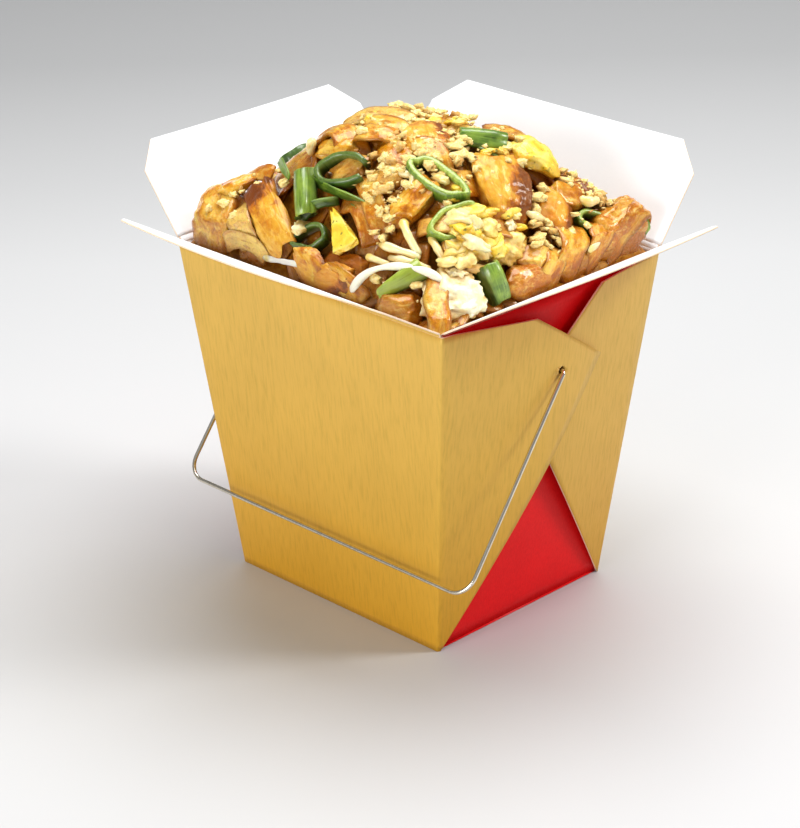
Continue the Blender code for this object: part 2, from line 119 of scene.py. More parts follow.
class Shader:
    """A material whose nodes are made one call at a time."""

    def __init__(self, name, **settings):
        self.material = bpy.data.materials.new(name)
        self.material.use_nodes = True
        self.tree = self.material.node_tree
        self.bsdf = self.tree.nodes["Principled BSDF"]
        self.surface(**settings)

    def put(self, socket, value):
        """Links a socket to another, or sets it to a constant."""
        if isinstance(value, bpy.types.NodeSocket):
            self.tree.links.new(value, socket)
        else:
            socket.default_value = value

    def surface(self, **settings):
        for socket, value in settings.items():
            self.put(self.bsdf.inputs[socket.replace("_", " ")], value)

    def node(self, kind, inputs=None, **properties):
        made = self.tree.nodes.new("ShaderNode" + kind)
        for key, value in properties.items():
            setattr(made, key, value)
        for key, value in (inputs or {}).items():
            self.put(made.inputs[key], value)
        return made

    def place(self, scale=(1, 1, 1), attribute=None):
        """Where a point is: in the box's frame in millimetres, or along a piece of food."""
        if attribute:
            source = self.node("Attribute", attribute_name=attribute).outputs["Vector"]
        else:
            source = self.node("TexCoord").outputs["Object"]
            scale = tuple(value / MM for value in scale)
        return self.node("Mapping", {"Vector": source, "Scale": scale}).outputs["Vector"]

    def attribute(self, name):
        return self.node("Attribute", attribute_name=name).outputs["Fac"]

    def noise(self, place, scale, detail=3.0, roughness=0.5, distortion=0.0):
        inputs = {"Vector": place, "Scale": scale, "Detail": detail, "Roughness": roughness,
                  "Distortion": distortion}
        return self.node("TexNoise", inputs).outputs["Fac"]

    def ramp(self, value, *stops):
        """Colours, or greys as single numbers, at places from 0 to 1."""
        ramp = self.node("ValToRGB", {"Fac": value})
        elements = ramp.color_ramp.elements
        while len(elements) < len(stops):
            elements.new(0.5)
        for element, (position, colour) in zip(elements, stops):
            element.position = position
            element.color = (*colour, 1) if isinstance(colour, tuple) else (colour, colour, colour, 1)
        return ramp.outputs["Color"]

    def mix(self, share, first, second, blend="MIX"):
        mix = self.node("Mix", data_type="RGBA", blend_type=blend)
        for index, value in ((0, share), (6, first), (7, second)):
            self.put(mix.inputs[index], (*value, 1) if isinstance(value, tuple) else value)
        return mix.outputs[2]

    def tints(self, colour, *steps):
        """A colour that goes over to others in turn. Each step is what rules it, two stops and the colour."""
        for value, first, last, tint in steps:
            colour = self.mix(self.ramp(value, first, last), colour, tint)
        return colour

    def mottle(self, amount, colour, value, least):
        """A colour that is darker in places."""
        return self.mix(amount, colour, self.ramp(value, (0.3, least), (0.7, 1.0)), "MULTIPLY")

    def math(self, operation, first, second=0.0):
        return self.node("Math", {0: first, 1: second}, operation=operation).outputs[0]

    def uneven(self, value, amount):
        """A noise as an amount on either side of zero."""
        return self.math("MULTIPLY", self.math("SUBTRACT", value, 0.5), amount)

    def finish(self, colour, rough, bump):
        """The material, with its colour, its roughness (what rules it, and two values) and its bump (height,
        strength and millimetres)."""
        if rough:
            self.surface(Roughness=self.ramp(rough[0], (0.3, rough[1]), (0.7, rough[2])))
        inputs = {"Height": bump[0], "Strength": bump[1], "Distance": bump[2] * MM}
        self.surface(Base_Color=colour, Normal=self.node("Bump", inputs).outputs["Normal"])
        return self.material


def gold_board():
    """Gold print with a fine grain that runs up the walls, with painted shade that makes it darker and more
    orange towards the bottom.
    """
    shader = Shader("gold_board", Metallic=0.25, IOR=1.45)
    grain = shader.noise(shader.place((1.0, 1.0, 0.003)), 1.5, detail=2.5, roughness=0.6)
    cloud = shader.noise(shader.place(), 0.035, detail=2.0)
    # Painted shade: the base colour is darker and more orange towards the bottom of the walls.
    height = shader.node("SeparateXYZ", {"Vector": shader.place((0.01, 0.01, 0.01))}).outputs["Z"]
    base = shader.ramp(height, (0.0, (0.73, 0.365, 0.018)), (0.5, (0.74, 0.43, 0.058)),
                       (1.0, (0.76, 0.475, 0.092)))
    streaks = shader.ramp(grain, (0.3, (0.76, 0.78, 0.70)), (0.5, (0.94, 0.945, 0.92)),
                          (0.7, (1.0, 1.0, 1.0)))
    colour = shader.mottle(0.35, shader.mix(0.6, base, streaks, "MULTIPLY"), cloud, 0.8)
    return shader.finish(colour, (grain, 0.5, 0.36), (grain, 0.12, 0.05))


def red_board():
    """Red print, a little mottled where the ink lies on the board's fibres."""
    shader = Shader("red_board", Specular_IOR_Level=0.12)
    fibre = shader.noise(shader.place((1, 1, 0.4)), 2.2, detail=4.0, roughness=0.7)
    cloud = shader.noise(shader.place(), 0.06, detail=2.0)
    colour = shader.ramp(fibre, (0.3, (0.80, 0.005, 0.007)), (0.7, (0.94, 0.010, 0.012)))
    return shader.finish(shader.mottle(0.3, colour, cloud, 0.75), (fibre, 0.5, 0.38), (fibre, 0.15, 0.03))


def white_board():
    """The coated inner face."""
    shader = Shader("white_board", IOR=1.45)
    fibre = shader.noise(shader.place(), 1.4, detail=5.0, roughness=0.7)
    cloud = shader.noise(shader.place(), 0.05, detail=2.0)
    colour = shader.ramp(cloud, (0.3, (0.86, 0.865, 0.88)), (0.7, (0.91, 0.91, 0.915)))
    return shader.finish(shader.mottle(0.2, colour, fibre, 0.88), (fibre, 0.55, 0.45), (fibre, 0.12, 0.03))


def cut_edge():
    """The core of the board along its cut and folded edges."""
    shader = Shader("cut_edge", Roughness=0.8)
    fibre = shader.noise(shader.place(), 2.5, detail=4.0, roughness=0.7)
    colour = shader.ramp(fibre, (0.3, (0.86, 0.60, 0.40)), (0.7, (0.95, 0.78, 0.60)))
    return shader.finish(colour, None, (fibre, 0.3, 0.05))


def steel_wire():
    shader = Shader("steel_wire", Metallic=1.0)
    drawn = shader.noise(shader.place((1, 0.05, 0.05)), 2.0, detail=3.0, roughness=0.7)
    # Painted reflection: the warm tint stands in for the gold board and pale floor reflected in the wire.
    colour = shader.ramp(drawn, (0.3, (0.62, 0.55, 0.43)), (0.7, (0.90, 0.84, 0.70)))
    return shader.finish(colour, (drawn, 0.26, 0.14), (drawn, 0.2, 0.02))


# ---------------------------------------------------------------- meshes

def make_object(name, data, materials=()):
    """An object from a mesh, a curve or a bmesh."""
    if isinstance(data, bmesh.types.BMesh):
        bm, data = data, bpy.data.meshes.new(name)
        bm.to_mesh(data)
        bm.free()
    obj = bpy.data.objects.new(name, data)
    bpy.context.scene.collection.objects.link(obj)
    for material in materials:
        data.materials.append(material)
    return obj


def final_mesh(obj):
    """An object's mesh after its modifiers."""
    return bpy.data.meshes.new_from_object(obj.evaluated_get(bpy.context.evaluated_depsgraph_get()))


def apply_modifiers(obj):
    mesh = final_mesh(obj)
    obj.modifiers.clear()
    obj.data = mesh


def grid_mesh(points):
    """A bmesh of quads over rows of points, facing the side where rows x columns turn anticlockwise."""
    bm = bmesh.new()
    rows = [[bm.verts.new(point) for point in row] for row in points]
    for low, high in zip(rows, rows[1:]):
        for i in range(len(low) - 1):
            bm.faces.new((low[i], low[i + 1], high[i + 1], high[i]))
    return bm


def make_sheet(name, rows, materials, flip=False, thickness=BOARD, offset=-1.0):
    """A sheet of board over rows of points. Its materials are those of its face, its edges and its back."""
    sheet = make_object(name, grid_mesh(rows), materials)
    if flip:
        sheet.data.flip_normals()
    sheet.data.shade_smooth()
    solidify = sheet.modifiers.new("board", "SOLIDIFY")
    solidify.thickness, solidify.offset = thickness, offset
    solidify.use_even_offset = False
    solidify.material_offset_rim, solidify.material_offset = 1, 2
    return sheet


def half_x(z):
    return BASE_HALF_X + (RIM_HALF_X - BASE_HALF_X) * z / HEIGHT


def half_y(z):
    return BASE_HALF_Y + (RIM_HALF_Y - BASE_HALF_Y) * z / HEIGHT


def web_rise(web, share):
    """How far a web's outer face stands out, at a share of the way from its corner to the middle."""
    if share <= 1:
        return web["rise"] * (1 - (1 - share) ** 1.4)
    return web["rise"] - web["fall"] * ((share - 1) / 0.4) ** 2


def web_reach(web, z):
    """How far from its corner a web's free edge is at height z."""
    peak_y, peak_z = web["peak"]
    if z <= web["tip_z"]:
        edge = -BASE_HALF_Y + WEB_HEEL + (FOLD_LEAN - WEB_HEEL / web["tip_z"]) * z
    elif z <= peak_z:
        tip_y = -BASE_HALF_Y + FOLD_LEAN * web["tip_z"]
        edge = tip_y + (peak_y - tip_y) * (z - web["tip_z"]) / (peak_z - web["tip_z"])
    else:
        edge = peak_y + (-RIM_HALF_Y - peak_y) * (z - peak_z) / (HEIGHT - peak_z)
    return max(0.25 * MM, edge + half_y(z))


# ---------------------------------------------------------------- pail

def end_rows(end, web):
    """Rows over the wall at Y = end, and over the two webs that fold round from it on to the side walls.
    The rows are even, with one more wherever the webs' edges turn."""
    levels = [WALL_TOP * i / WALL_ROWS for i in range(WALL_ROWS + 1)] + [web["tip_z"], web["peak"][1]]
    rows = []
    for z in sorted(set(levels)):
        reach, wide, deep = web_reach(web, z), half_x(z), half_y(z)
        half = [(2 * i / WALL_STEPS * (wide - CORNER_RADIUS), -deep) for i in range(WALL_STEPS // 2 + 1)]
        for i in range(1, CORNER_STEPS):
            angle = math.pi / 2 * i / CORNER_STEPS
            half.append((wide - CORNER_RADIUS * (1 - math.sin(angle)),
                         -deep + CORNER_RADIUS * (1 - math.cos(angle))))
        for i in range(WEB_STEPS + 1):
            along = CORNER_RADIUS + max(0.0, reach - CORNER_RADIUS) * i / WEB_STEPS
            half.append((wide + web_rise(web, along / deep), -deep + along))
        left = [(-x, y) for x, y in reversed(half[1:])]
        rows.append([Vector((x, -end * y, z)) for x, y in left + half])
    return rows


def side_rows(side):
    """Rows over the side wall at X = side, which bows out under the webs."""
    rows = []
    for i in range(SIDE_STEPS + 1):
        z = WALL_TOP * i / SIDE_STEPS
        row = []
        for j in range(SIDE_STEPS + 1):
            along = 2 * j / SIDE_STEPS - 1
            x = half_x(z) - 2 * BOARD + SIDE_BOW * (z / HEIGHT) * (1 - along * along)
            row.append(Vector((side * x, along * (half_y(z) - SIDE_GAP), z)))
        rows.append(row)
    return rows


def cut_wire_holes(obj):
    """Drills the bail's holes through both sides of a sheet."""
    bm = bmesh.new()
    bmesh.ops.create_cone(bm, cap_ends=True, segments=32, radius1=HOLE_RADIUS, radius2=HOLE_RADIUS,
                          depth=3 * RIM_HALF_X, matrix=Matrix.Rotation(math.pi / 2, 4, "Y"))
    drill = make_object("drill", bm)
    drill.location.z = PIVOT_Z
    boolean = obj.modifiers.new("holes", "BOOLEAN")
    boolean.object = drill
    boolean.operation = "DIFFERENCE"
    apply_modifiers(obj)
    bpy.data.objects.remove(drill)


def press_edge(sheet, web):
    """Takes the pale core off a web's free edge where it lies flat on the web under it."""
    crossing = (BASE_HALF_Y - WEB_HEEL) / (FOLD_LEAN - WEB_HEEL / web["tip_z"])
    for face in sheet.data.polygons:
        if face.material_index == 1 and crossing < face.center.z < web["tip_z"]:
            face.material_index = 0


def make_walls(board):
    """The gold end walls with their webs, then the red side walls."""
    for name, end, web in (("front", -1, FRONT_WEB), ("back", 1, BACK_WEB)):
        wall = make_sheet(f"{name}_wall", end_rows(end, web), [board["gold"], board["edge"], board["white"]],
                          flip=end > 0)
        cut_wire_holes(wall)
        press_edge(wall, web)
        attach(wall, "root")
        if name == "front":
            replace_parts(wall, "carton")
    for name, side in (("left", -1), ("right", 1)):
        wall = make_sheet(f"{name}_wall", side_rows(side), [board["red"], board["edge"], board["white"]],
                          flip=side < 0)
        cut_wire_holes(wall)
        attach(wall, "root")


def make_base(board):
    """The base, red above and on the sides under the red walls. Its edges are rounded by the folds."""
    bm = bmesh.new()
    bmesh.ops.create_cube(bm, size=1.0)
    size = (2 * BASE_HALF_X - 2.2 * BOARD, 2 * BASE_HALF_Y - 1.2 * BOARD, BOARD)
    bmesh.ops.scale(bm, verts=bm.verts, vec=size)
    bmesh.ops.translate(bm, verts=bm.verts, vec=(0, 0, BOARD / 2))
    bmesh.ops.bevel(bm, geom=bm.edges[:], offset=0.2 * MM, segments=2, affect="EDGES")
    base = make_object("base", bm, [board["gold"], board["red"]])
    for face in base.data.polygons:
        face.material_index = int(face.normal.z > -0.5 and abs(face.normal.y) < 0.5)
    base.data.shade_smooth()
    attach(base, "root")


# ---------------------------------------------------------------- flaps

class Flap:
    """Where one flap is, how wide, and its materials: inside, edges and printed outside."""

    def __init__(self, side_name, board):
        self.name = side_name
        self.on_end = side_name in ("front", "back")
        self.half_width = RIM_HALF_X if self.on_end else RIM_HALF_Y
        self.materials = [board["white"], board["edge"], board["gold" if self.on_end else "red"]]
        self.depth, self.sag = FLAPS[side_name]["depth"], FLAPS[side_name]["sag"]
        self.tilt = math.radians(FLAPS[side_name]["tilt"])
        self.heading = Matrix.Rotation(math.radians(FLAPS[side_name]["heading"]), 4, "Z")
        self.axis = Vector(JOINT_AT[f"{side_name}_crease"])


def make_flap(flap):
    """One flap, a little hollow across its width."""
    inset, chamfer = 2 * flap.half_width * FLAP_INSET, 2 * flap.half_width * FLAP_CHAMFER
    rows = []
    for i in range(FLAP_ROWS + 1):
        out = FLAP_START + (flap.depth - FLAP_START) * (i / FLAP_ROWS)
        level = out / flap.depth
        if level < FLAP_STRAIGHT:
            edge_x = flap.half_width - FLAP_GAP - (inset - FLAP_GAP) * level / FLAP_STRAIGHT
        else:
            past = (level - FLAP_STRAIGHT) / (1 - FLAP_STRAIGHT)
            rounding = FLAP_ROUNDING * inset * past * (1 - past)
            edge_x = flap.half_width - inset - (chamfer - inset) * past - rounding
        row = []
        for j in range(FLAP_STEPS + 1):
            across = 2 * j / FLAP_STEPS - 1
            hollow = -flap.sag * (1 - (across * edge_x / flap.half_width) ** 2) * level * level
            row.append(Vector((across * edge_x, out, hollow)))
        rows.append(row)
    sheet = make_sheet(f"{flap.name}_flap", rows, flap.materials, offset=0.0)
    apply_modifiers(sheet)
    turn = flap.heading @ Matrix.Rotation(flap.tilt, 4, "X")
    sheet.data.transform(Matrix.Translation(flap.axis) @ turn)
    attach(sheet, f"{flap.name}_flap")
    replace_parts(sheet, f"flap_{flap.name}")


def make_crease(flap):
    """The strip of pressed board, bent to the flap's tilt, from the wall's top to the flap's start."""
    wall_in = (0.25 if flap.on_end else 0.85) * MM
    lean = (RIM_HALF_Y - BASE_HALF_Y) / HEIGHT
    flap_dir = Vector((0, math.cos(flap.tilt), math.sin(flap.tilt)))
    profile = [
        Vector((0, -wall_in - 0.6 * MM * lean, WALL_TOP - CREASE_Z - 0.1 * MM)),
        Vector((0, -wall_in * 0.8, -0.45 * MM)),
        Vector((0, -wall_in * 0.35, -0.12 * MM)),
        flap_dir * 0.3 * MM,
        flap_dir * (FLAP_START + 0.05 * MM),
    ]
    rows = []
    for point in profile:
        row = []
        for j in range(CREASE_STEPS + 1):
            across = 2 * j / CREASE_STEPS - 1
            bow = 0.0
            if not flap.on_end:
                share = max(0.0, min(1.0, -point.z / (CREASE_Z - WALL_TOP)))
                bow = (SIDE_BOW * (1 - across * across) - 0.2 * MM) * share
            shift = Vector((across * (flap.half_width - 0.35 * MM), bow, 0))
            row.append(flap.axis + flap.heading @ (point + shift))
        rows.append(row)
    strip = make_sheet(f"{flap.name}_crease", rows, flap.materials, thickness=BOARD * 0.92, offset=0.0)
    subdivision = strip.modifiers.new("smooth", "SUBSURF")
    subdivision.levels = subdivision.render_levels = 1
    apply_modifiers(strip)
    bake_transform(strip)


# ---------------------------------------------------------------- bail

def filleted(corners, radii, step=math.radians(6)):
    """The points of a path through the corners, with each inner corner rounded to its radius."""
    points = [corners[0]]
    for before, corner, after, radius in zip(corners, corners[1:], corners[2:], radii):
        back, ahead = (before - corner).normalized(), (after - corner).normalized()
        half = back.angle(ahead) / 2
        centre = corner + (back + ahead).normalized() * (radius / math.sin(half))
        start = corner + back * (radius / math.tan(half)) - centre
        stop = corner + ahead * (radius / math.tan(half)) - centre
        turn, axis = start.angle(stop), start.cross(stop)
        count = max(3, round(turn / step))
        points += [centre + Matrix.Rotation(turn * i / count, 3, axis) @ start for i in range(count + 1)]
    return points + [corners[-1]]


def make_bail(material):
    drop = math.radians(BAIL_DROP)
    bar_y, bar_z = -BAIL_REACH * math.cos(drop), -BAIL_REACH * math.sin(drop)
    outside = half_x(PIVOT_Z) + FRONT_WEB["rise"] + WIRE_RADIUS + 0.4 * MM
    inside = half_x(PIVOT_Z) - 3 * BOARD - 0.6 * MM
    right_half = [Vector((inside, 0, 0)), Vector((outside, 0, 0)), Vector((BAIL_HALF_WIDTH, bar_y, bar_z))]
    corners = right_half + [Vector((-point.x, point.y, point.z)) for point in reversed(right_half)]
    points = filleted(corners, [PIVOT_BEND, BAIL_BEND, BAIL_BEND, PIVOT_BEND])
    curve = bpy.data.curves.new("wire", "CURVE")
    curve.dimensions = "3D"
    curve.bevel_depth = WIRE_RADIUS
    curve.bevel_resolution = 4
    curve.use_fill_caps = True
    spline = curve.splines.new("POLY")
    spline.points.add(len(points) - 1)
    for target, point in zip(spline.points, points):
        target.co = (*point, 1.0)
    spline.use_smooth = True
    source = make_object("wire_curve", curve, [material])
    wire = make_object("wire_handle", final_mesh(source))
    bpy.data.objects.remove(source)
    wire.data.transform(Matrix.Translation((0, 0, PIVOT_Z)))
    wire.data.shade_smooth()
    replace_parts(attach(wire, "handle"), "bail")


# ---------------------------------------------------------------- food: where it lies, in millimetres

RIM_X, RIM_Y, TOP = RIM_HALF_X / MM, RIM_HALF_Y / MM, HEIGHT / MM
HEAP_START, HEAP_LEVEL, HEAP_DIP, HEAP_CROWN = 2.0, 11.0, 13.0, 22.0
SINK_X, SINK_Y, SINK_WIDTH, SINK_DEPTH = -23.0, -3.0, 9.0, 5.0      # where the heap has settled
CORE_DEPTH = 4.4                     # how far the core lies under the dome
STRAND_CLEARANCE = 1.2               # how far loose strands may rise above the dome
CRUMB_CLEARANCE = 3.5                # and crumbs
FOOD_EDGE_X, FOOD_EDGE_Y = RIM_X - 2.2, RIM_Y - 1.0
FOOD_TOP = CAD_BOX[1][2] / MM
GAP_START, GAP_DEPTH = 0.3, 3.2      # where the shade of a gap starts, and how much deeper it is full


def dome(x, y):
    """Height of the even surface that the food is laid on."""
    across, along = min(1.0, abs(x) / RIM_X), min(1.0, abs(y) / RIM_Y)
    level = HEAP_LEVEL - HEAP_DIP * max(0.0, (x / RIM_X - y / RIM_Y) / 2)
    shoulder = math.sqrt((1 - across ** 10) * (1 - along ** 10))
    crown = ((1 - across ** 3.6) * (1 - along ** 3.6)) ** 3
    return TOP - HEAP_START + (HEAP_START + level) * shoulder + HEAP_CROWN * crown


def settled(x, y):
    """Height of the dome with the food sunk at its back left."""
    across, along = (x - SINK_X) / SINK_WIDTH, (y - SINK_Y) / SINK_WIDTH
    return dome(x, y) - SINK_DEPTH * math.exp(-across ** 2 - along ** 2)


def dome_normal(x, y, step=4.0):
    slope_x = (dome(x + step, y) - dome(x - step, y)) / (2 * step)
    slope_y = (dome(x, y + step) - dome(x, y - step)) / (2 * step)
    return Vector((-slope_x, -slope_y, 1.0)).normalized()


def on_dome(x, y, lift):
    return Vector((x, y, dome(x, y))) + dome_normal(x, y) * lift


def lay(points, place, turn):
    """A piece's points once it lies on the dome, turned to a heading, then pitched and rolled."""
    x, y, lift = place
    heading, pitch, roll = (math.radians(value) for value in turn)
    upright = Vector((0, 0, 1)).rotation_difference(dome_normal(x, y)).to_matrix()
    spin = Matrix.Rotation(heading, 3, "Z") @ Matrix.Rotation(pitch, 3, "Y") @ Matrix.Rotation(roll, 3, "X")
    matrix = np.array(Matrix.Translation(on_dome(x, y, lift)) @ (upright @ spin).to_4x4())
    return points @ matrix[:3, :3].T + matrix[:3, 3]


def tumble(draw, lean):
    """A random turn about Z, after a small one about X."""
    turn = Matrix.Rotation(draw.uniform(0, 6.28), 3, "Z") @ Matrix.Rotation(draw.gauss(0, lean), 3, "X")
    return np.array(turn).T


def wave(points, scale, seed):
    """Smooth noise at each point, about -0.5 to 0.5."""
    shift = Vector((seed * 3.7, seed * 7.1, seed * 1.9))
    return np.array([noise.noise(Vector(point) / scale + shift) for point in points])


def blurred(row, kernel):
    """A row after a kernel has gone over it. The row's ends go on as they are."""
    return np.convolve(np.pad(row, len(kernel) // 2, mode="edge"), kernel, "valid")


class Heights:
    """The top of the food so far, over a grid, so that each piece can lie on those before it."""

    CELL = 0.5

    def __init__(self):
        x_values, y_values = (np.arange(-rim, rim + self.CELL, self.CELL) for rim in (RIM_X, RIM_Y))
        dome_heights = np.array([[settled(x, y) for y in y_values] for x in x_values])
        self.top = dome_heights - CORE_DEPTH
        self.most = dome_heights + STRAND_CLEARANCE

    def cell(self, x, y):
        return tuple(np.clip(np.round((np.asarray(value) + rim) / self.CELL).astype(int), 0, count - 1)
                     for value, rim, count in zip((x, y), (RIM_X, RIM_Y), self.top.shape))

    def raise_to(self, points, grid=None):
        """Raises the top, or another grid, to the points, in their cells and those next to them."""
        grid = self.top if grid is None else grid
        i, j = self.cell(points[:, 0], points[:, 1])
        for step_i in (-1, 0, 1):
            for step_j in (-1, 0, 1):
                a = np.clip(i + step_i, 0, grid.shape[0] - 1)
                b = np.clip(j + step_j, 0, grid.shape[1] - 1)
                np.maximum.at(grid, (a, b), points[:, 2])

    def keep_clear(self, points, depth):
        """Later strands stay this far below the top of a piece with these points."""
        highest = np.full(self.top.shape, -np.inf)
        self.raise_to(points, highest)
        covered = np.isfinite(highest)
        self.most[covered] = np.minimum(self.most[covered], highest[covered] - depth)

    def rest(self, x, y):
        """Where a crumb comes to rest: on the food, though not too far above the dome."""
        return min(float(self.top[self.cell(x, y)]), settled(x, y) + CRUMB_CLEARANCE, FOOD_TOP - 2.4)


FOOD = []


class Batch:
    """Meshes that are joined as one piece. Points are in millimetres. Each point keeps where it is along
    its own piece ("grain"), how brown or how far out it is ("skin"), and its piece's own number ("tone")."""

    def __init__(self):
        self.points, self.faces, self.grain, self.skin, self.tone = [], [], [], [], []
        self.count = 0

    def add(self, points, faces, grain, skin, tone):
        self.points.append(points)
        self.faces += [tuple(index + self.count for index in face) for face in faces]
        self.grain.append(grain)
        self.skin.append(np.broadcast_to(skin, len(points)))
        self.tone.append(np.full(len(points), tone))
        self.count += len(points)

    def make(self, name, material, slot_name, *replaced):
        mesh = bpy.data.meshes.new(name)
        points = np.concatenate(self.points)
        past = np.maximum(points[:, 2] - (FOOD_TOP - 2), 0)
        points[:, 2] = np.minimum(points[:, 2], FOOD_TOP - 2) + 1.9 * np.tanh(past / 1.9)
        mesh.from_pydata((points * MM).tolist(), [], self.faces)
        grain = mesh.attributes.new("grain", "FLOAT_VECTOR", "POINT")
        grain.data.foreach_set("vector", np.concatenate(self.grain).astype(np.float32).ravel())
        for key, values in (("skin", self.skin), ("tone", self.tone)):
            store(mesh, key, np.concatenate(values))
        obj = make_object(name, mesh, [material])
        mesh.shade_smooth()
        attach(obj, "root")
        if replaced:
            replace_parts(obj, *replaced)
        FOOD.append(obj)


def store(mesh, key, values):
    """Keeps a number for each point of a mesh."""
    mesh.attributes.new(key, "FLOAT", "POINT").data.foreach_set("value", values.astype(np.float32))


def mark_painted_gap_shade(heights, reach=3.0):
    """Stores at each point of the food how far it lies below what is round it ("deep"), which the food
    materials turn into painted shade.
    """
    kernel = np.exp(-(np.arange(-12, 13) * heights.CELL / reach) ** 2)
    kernel /= kernel.sum()
    level = heights.top
    for axis in (0, 1):
        level = np.apply_along_axis(blurred, axis, level, kernel)
    for obj in FOOD:
        points = np.empty(len(obj.data.vertices) * 3, np.float32)
        obj.data.vertices.foreach_get("co", points)
        points = points.reshape(-1, 3) / MM
        below = level[heights.cell(points[:, 0], points[:, 1])] - points[:, 2]
        # Painted shade: the deeper a point lies in a gap, the darker the materials make it.
        store(obj.data, "deep", np.clip((below - GAP_START) / GAP_DEPTH, 0, 1))


# ---------------------------------------------------------------- food: shapes

def distances(path):
    """How far along a path each of its points is."""
    return np.concatenate([[0], np.cumsum(np.linalg.norm(np.diff(path, axis=0), axis=1))])


def directions(path):
    """The direction of a path at each of its points."""
    ahead = np.gradient(path, axis=0)
    return ahead / np.linalg.norm(ahead, axis=1)[:, None]


def ring_faces(rings, sides, closed=False, inward=False):
    """Quads between rings of points that follow one another, and caps at the ends if they don't close."""
    faces = []
    for i in range(rings if closed else rings - 1):
        j = (i + 1) % rings
        for k in range(sides):
            n = (k + 1) % sides
            faces.append((i * sides + k, i * sides + n, j * sides + n, j * sides + k))
    if inward:
        faces = [(a, d, c, b) for a, b, c, d in faces]
    if not closed:
        first, last = tuple(range(sides)), tuple((rings - 1) * sides + k for k in range(sides))
        faces += [first, last[::-1]] if inward else [first[::-1], last]
    return faces


def curve_through(points, spacing):
    """Points at even steps on a smooth curve through the given ones."""
    points = [np.array(point, float) for point in points]
    points = [2 * points[0] - points[1]] + points + [2 * points[-1] - points[-2]]
    fine = []
    for a, b, c, d in zip(points, points[1:], points[2:], points[3:]):
        for t in np.linspace(0, 1, 24, endpoint=False):
            fine.append(0.5 * (2 * b + (c - a) * t + (2 * a - 5 * b + 4 * c - d) * t ** 2
                               + (3 * b - a - 3 * c + d) * t ** 3))
    fine = np.array(fine + [points[-2]])
    length = distances(fine)
    wanted = np.linspace(0, length[-1], max(4, round(length[-1] / spacing)) + 1)
    return np.stack([np.interp(wanted, length, column) for column in fine.T], axis=1)


def strip(path, ups, width, thickness, rolls, cup, seed, sides):
    """A flat strip along a path: points, faces, grain and how near each point is to an edge.
    It is hollow across by cup times its width, and its edges are round and uneven."""
    count = len(path)
    tangents, along = directions(path), distances(path)
    points, grain, skin = [], [], []
    for i in range(count):
        side = np.cross(ups[i], tangents[i])
        side /= np.linalg.norm(side)
        above = np.cross(tangents[i], side)
        c, s = math.cos(rolls[i]), math.sin(rolls[i])
        across, up = side * c + above * s, above * c - side * s
        end = min(1.0, (min(i, count - 1 - i) + 0.35) / 1.6)
        place = Vector((along[i] / 7.0, seed * 5.3, 0))
        wide = width / 2 * (1 + 0.22 * noise.noise(place)) * (0.82 + 0.18 * end)
        thick = thickness / 2 * (0.35 + 0.65 * end)
        shift = 0.12 * width * noise.noise(place + Vector((0, 0, 9.1)))
        for k in range(sides):
            angle = 2 * math.pi * k / sides
            c, s = math.cos(angle), math.sin(angle)
            u = math.copysign(abs(c) ** 0.9, c)
            v = math.copysign(abs(s) ** 0.85, s)
            ripple = 0.22 * thickness * noise.noise(Vector((along[i] / 2.6, u * width / 5, seed * 2.1)))
            rise = v * thick + cup * wide * (u * u - 0.4) + ripple
            points.append(path[i] + across * (u * wide + shift) + up * rise)
            grain.append((along[i], u * wide, v * thickness + seed * 10))
            skin.append(abs(u) ** 3)
    return np.array(points), ring_faces(count, sides), np.array(grain), np.array(skin)


def dome_path(places, spacing=1.0):
    """A smooth path through places on the dome, with the dome's up at each step."""
    flat = curve_through(places, spacing)
    path = np.array([on_dome(*place) for place in flat])
    return path, np.array([dome_normal(*place[:2]) for place in flat])


@functools.cache
def block(cuts):
    """The points and quads of a cube with even cuts, from -1 to 1."""
    bm = bmesh.new()
    bmesh.ops.create_cube(bm, size=2.0)
    bmesh.ops.subdivide_edges(bm, edges=bm.edges[:], cuts=cuts, use_grid_fill=True)
    bm.verts.ensure_lookup_table()
    points = np.array([vert.co[:] for vert in bm.verts])
    faces = [tuple(vert.index for vert in face.verts) for face in bm.faces]
    bm.free()
    return points, faces


def lump(size, cuts=22, roundness=0.7, bend=0.0, taper=0.0, rough=0.1, grainy=0.05, seed=0.0):
    """A soft block of food: points and faces about its own middle, grain, and its cube's points."""
    cube, faces = block(cuts)
    ball = cube / np.linalg.norm(cube, axis=1)[:, None]
    form = cube * (1 - roundness) + ball * roundness * 1.15
    half = np.array(size) / 2
    least = half.min()
    wobble = np.stack([wave(form, 0.8, seed + k) for k in (0.0, 2.3, 5.1)], axis=1) * rough * 2
    form = form + wobble
    form[:, 1] *= 1 - taper * (form[:, 0] + 1) / 2
    local = form * half
    local[:, 2] += bend * half[0] * (0.66 - form[:, 0] ** 2)
    coarse, fine = wave(local, 2.4, seed), wave(local, 1.0, seed + 4)
    local += ball * (coarse * grainy * 2 * least + fine * grainy * least)[:, None]
    return local, faces, local + seed * 10, form


